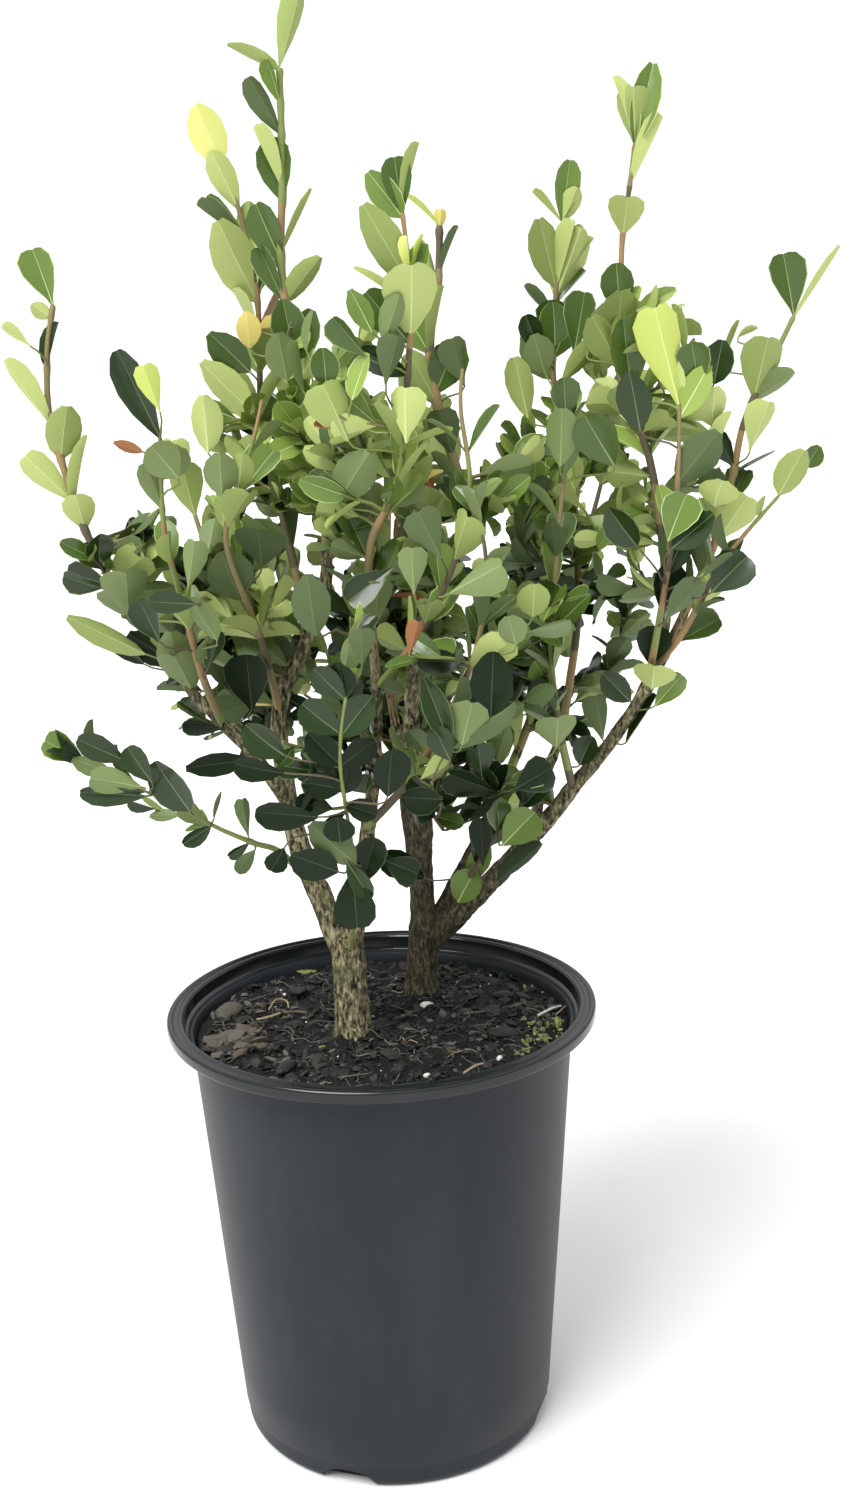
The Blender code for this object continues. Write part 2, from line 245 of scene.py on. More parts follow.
@dataclass
class JoinedMesh:
    """Many placed copies of templates, gathered into one mesh."""

    points: list[np.ndarray] = field(default_factory=list)
    corners: list[np.ndarray] = field(default_factory=list)
    sizes: list[np.ndarray] = field(default_factory=list)
    slots: list[np.ndarray] = field(default_factory=list)
    materials: list[Material] = field(default_factory=list)
    count: int = 0

    def slot_of(self, material: Material) -> int:
        """The slot number of a material, added when it is new."""
        if material not in self.materials:
            self.materials.append(material)
        return self.materials.index(material)

    def add(self, template: Template, points: np.ndarray, materials: Sequence[Material]) -> None:
        """Add a copy of a template, with its points placed in metres and a material for each part number."""
        numbers = np.array([self.slot_of(material) for material in materials])
        self.points.append(points)
        self.corners.append(template.corners + self.count)
        self.sizes.append(template.sizes)
        self.slots.append(numbers[template.parts])
        self.count += len(points)

    def to_object(self, name: str, sharp: Optional[float] = None) -> bpy.types.Object:
        """Make the object that holds every copy.

        Args:
            name: the object's name.
            sharp: the angle in degrees past which an edge stays sharp, or None.

        Returns:
            The new object, linked to the scene.
        """
        points = np.concatenate(self.points)
        corners = np.concatenate(self.corners)
        sizes = np.concatenate(self.sizes)
        mesh = bpy.data.meshes.new(name)
        mesh.vertices.add(len(points))
        mesh.vertices.foreach_set("co", points.astype(np.float32).ravel())
        mesh.loops.add(len(corners))
        mesh.loops.foreach_set("vertex_index", corners.astype(np.int32))
        mesh.polygons.add(len(sizes))
        starts = np.concatenate([[0], np.cumsum(sizes)[:-1]])
        mesh.polygons.foreach_set("loop_start", starts.astype(np.int32))
        for material in self.materials:
            mesh.materials.append(material)
        mesh.polygons.foreach_set("material_index", np.concatenate(self.slots).astype(np.int32))
        mesh.update(calc_edges=True)
        mesh.validate()
        mesh.shade_smooth()
        if sharp is not None:
            mesh.set_sharp_from_angle(angle=radians(sharp))
        return link(name, mesh)


def link(name: str, mesh: bpy.types.Mesh) -> bpy.types.Object:
    """Put a mesh in the scene as an object at the origin."""
    made = bpy.data.objects.new(name, mesh)
    bpy.context.scene.collection.objects.link(made)
    return made


def shape_to_object(
    name: str, shape: bmesh.types.BMesh, materials: Sequence[Material], sharp: float = 40.0
) -> bpy.types.Object:
    """Turn a bmesh into a smooth-shaded object whose sharp edges stay sharp."""
    mesh = bpy.data.meshes.new(name)
    shape.to_mesh(mesh)
    shape.free()
    for material in materials:
        mesh.materials.append(material)
    mesh.shade_smooth()
    mesh.set_sharp_from_angle(angle=radians(sharp))
    return link(name, mesh)


def apply_modifiers(piece: bpy.types.Object) -> bpy.types.Mesh:
    """Give a piece the mesh that its modifiers make of it."""
    graph = bpy.context.evaluated_depsgraph_get()
    mesh = bpy.data.meshes.new_from_object(piece.evaluated_get(graph))
    piece.modifiers.clear()
    piece.data = mesh
    return mesh


def settle(piece: bpy.types.Object, slot: str, nodes: Iterable[str] = ()) -> None:
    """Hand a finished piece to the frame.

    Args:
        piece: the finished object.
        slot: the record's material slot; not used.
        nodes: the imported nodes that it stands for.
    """
    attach(piece, BODY)
    nodes = list(nodes)
    if nodes:
        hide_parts(*nodes)
    triangles = sum(len(face.vertices) - 2 for face in piece.data.polygons)
    packed = ", ".join(nodes) or "nothing packed"
    log.info("%s: %d triangles, stands for %s", piece.name, triangles, packed)


@dataclass
class StemMould:
    """Straight tubes made once for each number of sides and rings, then bent along a path."""

    made: dict[tuple[int, int], Template] = field(default_factory=dict)

    def straight(self, sides: int, rings: int) -> Template:
        """A closed tube of unit radius, its rings one unit apart, each stretch a part of its own."""
        key = (sides, rings)
        if key not in self.made:
            shape = bmesh.new()
            bmesh.ops.create_circle(shape, cap_ends=True, segments=sides, radius=1.0)
            cap = shape.faces[:]
            for ring in range(1, rings):
                grown = bmesh.ops.extrude_face_region(shape, geom=cap)["geom"]
                if ring > 1:
                    bmesh.ops.delete(shape, geom=cap, context="FACES_ONLY")
                verts = [item for item in grown if isinstance(item, bmesh.types.BMVert)]
                bmesh.ops.translate(shape, verts=verts, vec=UP)
                cap = [item for item in grown if isinstance(item, bmesh.types.BMFace)]
            bmesh.ops.recalc_face_normals(shape, faces=shape.faces)
            for face in shape.faces:
                face.material_index = min(rings - 2, round(min(vert.co.z for vert in face.verts)))
            self.made[key] = Template.from_bmesh(shape)
        return self.made[key]

    def bend(
        self,
        joined: JoinedMesh,
        path: Sequence[Vector],
        radii: Sequence[float],
        sides: int,
        skins: Sequence[Material],
    ) -> None:
        """Bend a straight tube along a path and join it.

        Args:
            joined: the mesh that takes it.
            path: the tube's middle line, in metres.
            radii: the tube's radius at each point of the path, in metres.
            sides: the number of sides.
            skins: the tube's material at each point of the path.
        """
        template = self.straight(sides, len(path))
        rings = template.points[:, 2].round().astype(int)
        middle = np.array([point[:] for point in path])
        ahead = np.gradient(middle, axis=0)
        ahead /= np.linalg.norm(ahead, axis=1, keepdims=True)
        side = np.zeros_like(ahead)
        last = np.array(across(Vector(ahead[0]), 0.0)[:])
        for index, direction in enumerate(ahead):
            last = last - direction * last.dot(direction)
            last /= np.linalg.norm(last)
            side[index] = last
        other = np.cross(ahead, side)
        size = np.array(radii)[rings][:, None]
        spread = template.points[:, :1] * side[rings] + template.points[:, 1:2] * other[rings]
        joined.add(template, middle[rings] + size * spread, skins)


# ---- Finishes ----


@dataclass(frozen=True)
class MouldedPolyethylene:
    """Blow-moulded recycled polyethylene: charcoal satin with mould grain, scuffs and a film of dust."""

    name: str = "moulded_polyethylene"
    body: str = "#25292c"
    dust: str = "#383d41"
    grain_mm: float = 0.6
    scuff_mm: float = 24.0
    shine: float = 0.18
    roughness: tuple[float, float] = (0.34, 0.52)

    def material(self) -> Material:
        """Build the material: dust lies in broad soft patches, and the grain roughens the satin."""
        material, shader = new_material(self.name, {"IOR": 1.51, "Specular IOR Level": self.shine})
        streaks = object_coordinates(material, (1.0, 1.0, 0.22))
        patches = add_node(
            material,
            "ShaderNodeTexNoise",
            {"Scale": 1 / (self.scuff_mm * MM), "Detail": 6.0, "Roughness": 0.62},
            {"Vector": streaks},
        )
        film = add_node(material, "ShaderNodeValToRGB", {}, {"Fac": patches.outputs["Fac"]})
        set_stops(film, ((0.42, (0, 0, 0, 1)), (0.86, (0.5, 0.5, 0.5, 1))))
        colour = add_node(
            material,
            "ShaderNodeMix",
            {"data_type": "RGBA", "A": linear(self.body), "B": linear(self.dust)},
            {"Factor": film.outputs["Color"]},
        )
        rough = add_node(
            material, "ShaderNodeMapRange", {"To Min": self.roughness[0], "To Max": self.roughness[1]},
            {"Value": patches.outputs["Fac"]},
        )
        wire(shader, {"Base Color": colour.outputs["Result"], "Roughness": rough.outputs["Result"]})
        add_relief(material, self.grain_mm, detail=2.0, strength=0.12, depth_mm=0.1)
        return material


@dataclass(frozen=True)
class Bark:
    """Living boxwood bark: grey-tan plates between fine dark fissures that run along the limb."""

    name: str = "boxwood_bark"
    plate: str = "#666047"
    ridge: str = "#aea683"
    fissure: str = "#211d14"
    algae: str = "#50563d"
    # The colour of the painted shade laid on the back trunk, low down under the crown.
    painted_shade: str = "#2c261f"
    plate_mm: float = 1.5
    grain_mm: float = 0.45
    stain_mm: float = 14.0
    shade_back_mm: tuple[float, float] = (4.0, 26.0)
    shade_height_mm: tuple[float, float] = (280.0, 225.0)

    def material(self) -> Material:
        """Build the material: plates and fissures from stretched noise, algae, and painted shade low at the
        back.
        """
        material, shader = new_material(self.name, {"Roughness": 0.9, "Specular IOR Level": 0.25})
        along = object_coordinates(material, (1.0, 1.0, 0.42))
        plates = add_node(
            material,
            "ShaderNodeTexNoise",
            {"Scale": 1 / (self.plate_mm * MM), "Detail": 5.0, "Roughness": 0.65, "Distortion": 0.4},
            {"Vector": along},
        )
        ramp = add_node(material, "ShaderNodeValToRGB", {}, {"Fac": plates.outputs["Fac"]})
        stops = ((0.39, self.fissure), (0.5, self.plate), (0.65, self.ridge))
        set_stops(ramp, [(position, linear(colour)) for position, colour in stops])
        stains = add_node(
            material, "ShaderNodeTexNoise", {"Scale": 1 / (self.stain_mm * MM), "Detail": 4.0},
            {"Vector": object_coordinates(material)},
        )
        reach = add_node(
            material, "ShaderNodeMapRange", {"From Min": 0.48, "From Max": 0.7, "To Max": 0.55},
            {"Value": stains.outputs["Fac"]},
        )
        colour = add_node(
            material, "ShaderNodeMix", {"data_type": "RGBA", "B": linear(self.algae)},
            {"Factor": reach.outputs["Result"], "A": ramp.outputs["Color"]},
        )
        # Painted shade: the bark is darkened towards the back and low down, where the crown shades the back
        # trunk.
        parts = add_node(material, "ShaderNodeSeparateXYZ", {}, {"Vector": object_coordinates(material)})
        (near, far), (shade_start, shade_full) = self.shade_back_mm, self.shade_height_mm
        back = add_node(
            material, "ShaderNodeMapRange", {"From Min": near * MM, "From Max": far * MM, "To Max": 0.75},
            {"Value": parts.outputs["Y"]},
        )
        low = add_node(
            material, "ShaderNodeMapRange", {"From Min": shade_start * MM, "From Max": shade_full * MM},
            {"Value": parts.outputs["Z"]},
        )
        both = add_node(
            material, "ShaderNodeMath", {"operation": "MULTIPLY"},
            {0: back.outputs["Result"], 1: low.outputs["Result"]},
        )
        shaded = add_node(
            material, "ShaderNodeMix", {"data_type": "RGBA", "B": linear(self.painted_shade)},
            {"Factor": both.outputs["Value"], "A": colour.outputs["Result"]},
        )
        wire(shader, {"Base Color": shaded.outputs["Result"]})
        add_relief(material, self.grain_mm, detail=4.0, strength=0.8, depth_mm=0.3, where=along)
        return material


@dataclass(frozen=True)
class DampMix:
    """Damp composted bark and peat: nearly black crumbs with brown fibres."""

    name: str = "potting_mix"
    dark: str = "#070808"
    light: str = "#1b1b18"
    crumb_mm: float = 2.0

    def material(self) -> Material:
        """Build the material: crumbs from noise colour the mix and roughen it."""
        material, shader = new_material(self.name, {"Roughness": 0.75, "Specular IOR Level": 0.3})
        crumbs = add_node(
            material,
            "ShaderNodeTexNoise",
            {"Scale": 1 / (self.crumb_mm * MM), "Detail": 8.0, "Roughness": 0.7},
            {"Vector": object_coordinates(material)},
        )
        ramp = add_node(material, "ShaderNodeValToRGB", {}, {"Fac": crumbs.outputs["Fac"]})
        set_stops(ramp, ((0.45, linear(self.dark)), (0.75, linear(self.light))))
        bump = add_node(
            material, "ShaderNodeBump", {"Strength": 0.9, "Distance": 0.8 * MM},
            {"Height": crumbs.outputs["Fac"]},
        )
        wire(shader, {"Base Color": ramp.outputs["Color"], "Normal": bump.outputs["Normal"]})
        return material


@dataclass(frozen=True)
class PlainOrganic:
    """A small organic bit in one plain colour, such as a chip, a straw, a grain or a green stem."""

    name: str
    colour: str
    roughness: float = 0.8
    grain_mm: float = 0.7
    relief: float = 0.4

    def material(self) -> Material:
        """Build the material: one base colour with fine relief from noise."""
        settings = {"Base Color": linear(self.colour), "Roughness": self.roughness}
        material, _ = new_material(self.name, settings)
        add_relief(material, self.grain_mm, detail=3.0, strength=self.relief, depth_mm=0.2)
        return material


@dataclass(frozen=True)
class LeafColours:
    """The three plain colours of a leaf: upper face, under face and midrib, whose pale colour also paints
    the highlight along some margins; and how its wax shines.
    """

    top: str
    under: str
    rib: str
    gloss: float = 0.34
    shine: float = 0.4


class Tone(Enum):
    """The tones that leaves take, from deep shade to fresh growth, and the odd turning leaf."""

    # SHADE paints the shade on leaves low and deep in the crown; DARK is partly older leaves' own deep
    # green, partly painted shade.
    SHADE = LeafColours("#15240f", "#323f28", "#3f4d34", 0.30, 0.2)
    DARK = LeafColours("#243715", "#526339", "#64754c", 0.22, 0.45)
    MID = LeafColours("#465d24", "#71824e", "#8d9f66", 0.23, 0.5)
    BRIGHT = LeafColours("#678038", "#97a75e", "#b6c688", 0.30)
    YOUNG = LeafColours("#8ca34e", "#b6c476", "#d2dda4", 0.34)
    LIME = LeafColours("#a6ba50", "#c3d16a", "#dbe49c", 0.40)
    YELLOW = LeafColours("#e0e568", "#f2f690", "#f8fabc", 0.45)
    STRAW = LeafColours("#bca648", "#d6c66e", "#e4d898", 0.50)
    ORANGE = LeafColours("#7d4a26", "#8f5f38", "#a8805a", 0.50)


SHADE, DARK, MID, BRIGHT, YOUNG, LIME, YELLOW, STRAW, ORANGE = Tone


@dataclass(frozen=True)
class Cuticle:
    """Leathery leaf skin: glossy and waxy above, matt and paler beneath, with a pale midrib whose skin also
    paints the highlight along some margins.
    """

    tone: Tone
    pore_mm: float = 0.9

    def material(self, part: str, colour: str, roughness: float) -> Material:
        """One plain coloured skin, its wax broken by a fine leathery relief."""
        settings = {
            "Base Color": linear(colour),
            "Roughness": roughness,
            "IOR": 1.47,
            "Specular IOR Level": self.tone.value.shine,
        }
        material, _ = new_material(f"leaf_{self.tone.name.lower()}_{part}", settings)
        add_relief(material, self.pore_mm, detail=2.0, strength=0.1, depth_mm=0.12)
        return material

    def materials(self) -> list[Material]:
        """The skins of the upper face, the under face and the midrib; the midrib's skin also paints the
        margin highlight.
        """
        colours = self.tone.value
        return [
            self.material("top", colours.top, colours.gloss),
            self.material("under", colours.under, 0.58),
            self.material("rib", colours.rib, 0.5),
        ]


@dataclass(frozen=True)
class ViewCamera:
    """A camera a little above the pot, close enough to see into it, tilted down and slightly rolled."""

    distance: float = 616.8
    height: float = 415.6
    down: float = 13.26
    aside: float = 1.87
    roll: float = -2.12
    lens: float = 40.99
    sensor: float = 36.0
    picture: tuple[int, int] = (849, 1493)

    def place(self) -> Matrix:
        """Where the camera stands and how it is turned."""
        turn = Matrix.Rotation(radians(-self.aside), 4, "Z")
        turn = turn @ Matrix.Rotation(radians(90 - self.down), 4, "X")
        turn = turn @ Matrix.Rotation(radians(self.roll), 4, "Z")
        return Matrix.Translation(Vector((0, -self.distance, self.height)) * MM) @ turn

    def sight(self, across: float, down: float) -> tuple[Vector, Vector]:
        """The camera's place, and the direction in which it sees a pixel of its view."""
        width, height = self.picture
        reach = self.lens / self.sensor * height
        head = Vector((across - width / 2, height / 2 - down, -reach))
        place = self.place()
        return place.translation, (place.to_3x3() @ head).normalized()

    def build(self) -> None:
        """Make the camera and set it as the scene's."""
        data = bpy.data.cameras.new("view_camera")
        data.lens = self.lens
        data.sensor_width = self.sensor
        data.clip_start = 0.01
        camera = bpy.data.objects.new("view_camera", data)
        camera.matrix_world = self.place()
        bpy.context.scene.collection.objects.link(camera)
        bpy.context.scene.camera = camera


# ---- Pot ----


def arc(
    centre: tuple[float, float], radius: float, start: float, end: float, steps: int
) -> list[tuple[float, float]]:
    """Points of a profile on an arc, as radius and height, from one angle in degrees to another."""
    angles = [radians(start + (end - start) * step / steps) for step in range(steps + 1)]
    return [(centre[0] + radius * cos(angle), centre[1] + radius * sin(angle)) for angle in angles]


def turned(profile: Sequence[tuple[float, float]], sides: int) -> bmesh.types.BMesh:
    """Spin a half-section, given as radii and heights in millimetres, about the upright axis."""
    shape = bmesh.new()
    points = [shape.verts.new((radius * MM, 0.0, height * MM)) for radius, height in profile]
    edges = [shape.edges.new(pair) for pair in zip(points, points[1:])]
    bmesh.ops.spin(
        shape, geom=points + edges, axis=UP, cent=(0, 0, 0), angle=2 * pi, steps=sides, use_merge=True
    )
    bmesh.ops.remove_doubles(shape, verts=shape.verts, dist=0.01 * MM)
    bmesh.ops.dissolve_degenerate(shape, edges=shape.edges, dist=0.001 * MM)
    bmesh.ops.recalc_face_normals(shape, faces=shape.faces)
    return shape


@dataclass
class NurseryPot:
    """The round tub: tapered wall, flat flanged rim with an inner ledge, rounded heel, drain holes."""

    height: float = 170.0
    foot_radius: float = 61.0
    top_radius: float = 73.6
    rim_radius: float = 82.5
    rim_depth: float = 4.8
    rim_width: float = 6.3
    wall: float = 1.4
    heel: float = 3.5
    sides: int = 144
    drain_holes: int = 4
    drain_width: float = 22.0
    drain_height: float = 6.5
    drain_first_angle: float = 250.0
    unevenness: float = 0.22
    finish: MouldedPolyethylene = MouldedPolyethylene()
    # Painted shade: the rim takes a darker copy of the same plastic, with darker dust, as well as its real
    # smoother gloss.
    rim_gloss_and_painted_shade: MouldedPolyethylene = MouldedPolyethylene(
        "polished_polyethylene_painted_shade", "#15191b", "#24282a", shine=0.42, roughness=(0.12, 0.20)
    )

    def wall_radius(self, height: float) -> float:
        """The outer radius of the straight wall at a height."""
        share = height / (self.height - self.rim_depth)
        return self.foot_radius + (self.top_radius - self.foot_radius) * share

    def profile(self) -> list[tuple[float, float]]:
        """The half-section, from the floor's middle up the inside, over the rim and down to the foot."""
        top = self.height
        edge = self.rim_radius
        inner = edge - self.rim_width
        foot = self.wall_radius(0)
        floor = [(0.0, self.wall + 1.2), (foot - 10.0, self.wall + 1.2), (foot - 7.0, self.wall)]
        inside = [(self.wall_radius(level) - self.wall, level) for level in (6.0, 80.0, top - 10.0)]
        ledge = [
            (self.top_radius - self.wall + 0.2, top - 7.4),
            (self.top_radius - self.wall + 0.7, top - 6.7),
            (inner - 1.2, top - 6.2),
            (inner - 0.7, top - 5.4),
            (inner - 0.1, top - 1.0),
        ]
        bead = arc((inner + 1.1, top - 1.1), 1.1, 170, 45, 5)
        groove = [(inner + 2.7, top - 0.8), (inner + 3.7, top - 0.8)]
        roll = arc((edge - 1.4, top - 1.4), 1.4, 115, 0, 8)
        side = arc((edge - 0.9, top - 3.9), 0.8, 0, -90, 5)
        under = [
            (edge - 4.5, top - self.rim_depth + 0.2),
            (self.top_radius + 1.2, top - self.rim_depth - 0.3),
            (self.top_radius + 0.5, top - self.rim_depth - 1.0),
            (self.top_radius + 0.1, top - self.rim_depth - 2.4),
            (self.wall_radius(155.0), 155.0),
        ]
        body = [(self.wall_radius(level), level) for level in (132.0, 105.0, 80.0, 50.0, 25.0, 9.2)]
        line = [(self.wall_radius(8.6) - 0.35, 8.6), (self.wall_radius(8.0) - 0.35, 8.0)]
        heel = arc((foot - self.heel - 0.2, self.heel), self.heel, 5, -90, 7)
        underside = [(foot - 9.0, 0.0), (foot - 10.0, 1.2), (0.0, 1.2)]
        rim = ledge + bead + groove + roll + side + under
        return floor + inside + rim + body + line + heel + underside

    def drain_cutter(self, index: int) -> bpy.types.Object:
        """A flat slot with a round top that opens the heel at one drain hole."""
        shape = bmesh.new()
        bmesh.ops.create_cone(
            shape, cap_ends=True, segments=36, radius1=0.5 * MM, radius2=0.5 * MM, depth=1.0 * MM
        )
        bmesh.ops.scale(shape, verts=shape.verts, vec=(self.drain_width, 2 * self.drain_height, 16.0))
        angle = radians(self.drain_first_angle + 360.0 * index / self.drain_holes)
        lie_down = Matrix.Rotation(radians(90), 4, "X")
        out = Matrix.Translation(((self.foot_radius + 1.5) * MM, 0, 0))
        out = out @ Matrix.Rotation(radians(90), 4, "Z")
        turn = Matrix.Rotation(angle, 4, "Z")
        bmesh.ops.transform(shape, verts=shape.verts, matrix=turn @ out @ lie_down)
        mesh = bpy.data.meshes.new(f"drain_cutter_{index}")
        shape.to_mesh(mesh)
        shape.free()
        return link(mesh.name, mesh)

    def warp(self, mesh: bpy.types.Mesh) -> None:
        """Give the thin moulded wall its slight unevenness, which breaks up long reflections."""
        for vert in mesh.vertices:
            out = Vector((vert.co.x, vert.co.y, 0.0))
            if out.length < 50.0 * MM:
                continue
            swell = noise.noise(Vector((vert.co.x, vert.co.y, vert.co.z * 0.6)) / (45.0 * MM))
            vert.co += out.normalized() * (swell - 0.5) * self.unevenness * MM

    def build(self) -> None:
        """Turn the tub, cut its drain holes and hand it to the frame."""
        shape = turned(self.profile(), self.sides)
        rim = (self.height - self.rim_depth - 1.0) * MM
        for face in shape.faces:
            # Faces of the rim take the darker, glossier copy: painted shade on the flange.
            face.material_index = int(face.calc_center_median().z > rim)
        pot = shape_to_object("pot_shell", shape, [self.finish.material(), self.rim_gloss_and_painted_shade.material()])
        cutters = [self.drain_cutter(index) for index in range(self.drain_holes)]
        for cutter in cutters:
            cut = pot.modifiers.new(cutter.name, "BOOLEAN")
            cut.operation = "DIFFERENCE"
            cut.object = cutter
        finished = apply_modifiers(pot)
        for cutter in cutters:
            bpy.data.objects.remove(cutter)
        self.warp(finished)
        finished.shade_smooth()
        finished.set_sharp_from_angle(angle=radians(38))
        settle(pot, "pot_plastic", ["pot"])


# ---- Potting mix ----


class Bit(Enum):
    """The plain colours of the bits that lie on the mix, and how rough each is."""

    BLACK = ("#0a0b0b", 0.6)
    DARK = ("#141413", 0.65)
    BROWN = ("#25231f", 0.7)
    GREY = ("#55544a", 0.75)
    TAN = ("#6f6754", 0.75)
    REDWOOD = ("#5a4f43", 0.85)
    PEBBLE = ("#4d4a41", 0.75)
    STRAW = ("#9a8768", 0.7)
    PERLITE = ("#d4d3cc", 0.9)
    MOSS = ("#6d764e", 0.9)
    LEAFLET = ("#87904f", 0.5)

    def material(self) -> Material:
        """Its material."""
        colour, roughness = self.value
        return PlainOrganic(f"mix_{self.name.lower()}", colour, roughness).material()


@dataclass(frozen=True)
class Scrap:
    """One larger thing on the mix, in millimetres, with its turn in degrees."""

    x: float
    y: float
    length: float
    width: float
    thick: float
    turn: float
    tone: Bit


@dataclass(frozen=True)
class Patch:
    """A cluster of small bits on the mix, in millimetres: its middle, spread, number, size and swing."""

    x: float
    y: float
    spread: float
    pieces: int
    size: float
    thick: float
    swing: float
    tones: tuple[Bit, ...]


@dataclass(frozen=True)
class Straw:
    """A straw that lies over the mix, in millimetres: its places, how high each lies, its diameter."""

    route: tuple[tuple[float, float, float], ...]
    diameter: float
    tone: Bit = Bit.STRAW


SCRAPS = tuple(Scrap(*row) for row in (
    (-61, 18, 13, 9, 5.0, 40, Bit.PEBBLE), (-29, 63, 13, 6, 1.0, 15, Bit.LEAFLET),
    (18, 13, 7, 5, 2.8, 20, Bit.PERLITE), (15, -50, 3.4, 2.6, 2.0, 30, Bit.PERLITE),
    (42, -40, 3.0, 2.4, 1.8, 80, Bit.PERLITE), (54, 8, 2.2, 1.8, 1.4, 10, Bit.PERLITE),
    (31, 40, 2.6, 2.0, 1.4, 70, Bit.PERLITE), (-23, -22, 4, 2, 0.8, 50, Bit.LEAFLET),
    (-36, -40, 13, 6, 3.0, 65, Bit.DARK), (46, -18, 16, 7, 3.2, 25, Bit.BLACK),
    (-34, 34, 14, 7, 3.0, 110, Bit.DARK), (4, -34, 12, 5, 2.6, 5, Bit.BROWN),
    (48, 22, 14, 6, 3.0, 130, Bit.BLACK),
))

MOSS = (Bit.MOSS, Bit.MOSS, Bit.LEAFLET)
OLD_BARK = (Bit.REDWOOD, Bit.REDWOOD, Bit.BROWN, Bit.GREY)

PATCHES = tuple(Patch(*row) for row in (
    (-56, -13, 4.4, 46, 7.5, 0.30, 16, OLD_BARK), (-51, -20, 3.4, 26, 7.0, 0.34, 16, OLD_BARK),
    (64, -8, 3.4, 40, 2.2, 0.9, 180, MOSS), (58, -22, 3.2, 34, 2.2, 0.9, 180, MOSS),
    (52, -34, 2.6, 16, 1.9, 0.9, 180, MOSS), (64, 32, 2.6, 20, 2.2, 0.9, 180, MOSS),
))

STRAWS = (
    Straw(((-49, 6, 0.6), (-44, 7, 2.0), (-40, 9, 1.4)), 1.0),
    Straw(((-38, 9, 2.2), (-34, 12, 1.2), (-30, 12, 0.4)), 0.8, Bit.TAN),
    Straw(((-45, 18, 0.4), (-42, 22, 3.0), (-38, 22, 2.4), (-37, 18, 0.4)), 0.7),
    Straw(((28, -52, 0.4), (33, -48, 1.8), (37, -45, 0.5)), 0.9),
    Straw(((67, -3, 0.4), (71, 2, 3.4), (73, 8, 1.0)), 0.6),
    Straw(((40, 62, 0.4), (45, 66, 3.2), (51, 64, 0.6)), 0.6),
    Straw(((-20, -50, 0.3), (-14, -52, 1.4), (-6, -49, 0.4)), 0.6, Bit.GREY),
    Straw(((6, 52, 0.4), (12, 48, 2.2), (20, 49, 0.4)), 0.8, Bit.GREY),
    Straw(((-60, -2, 0.4), (-62, 6, 1.8), (-60, 12, 0.4)), 0.6, Bit.GREY),
    Straw(((60, -3, 1.6), (66, 1, 3.2), (70, 6, 2.0)), 1.0, Bit.PERLITE),
    Straw(((30, 4, 0.3), (38, 2, 1.6), (46, 4, 0.3)), 0.7, Bit.GREY),
)


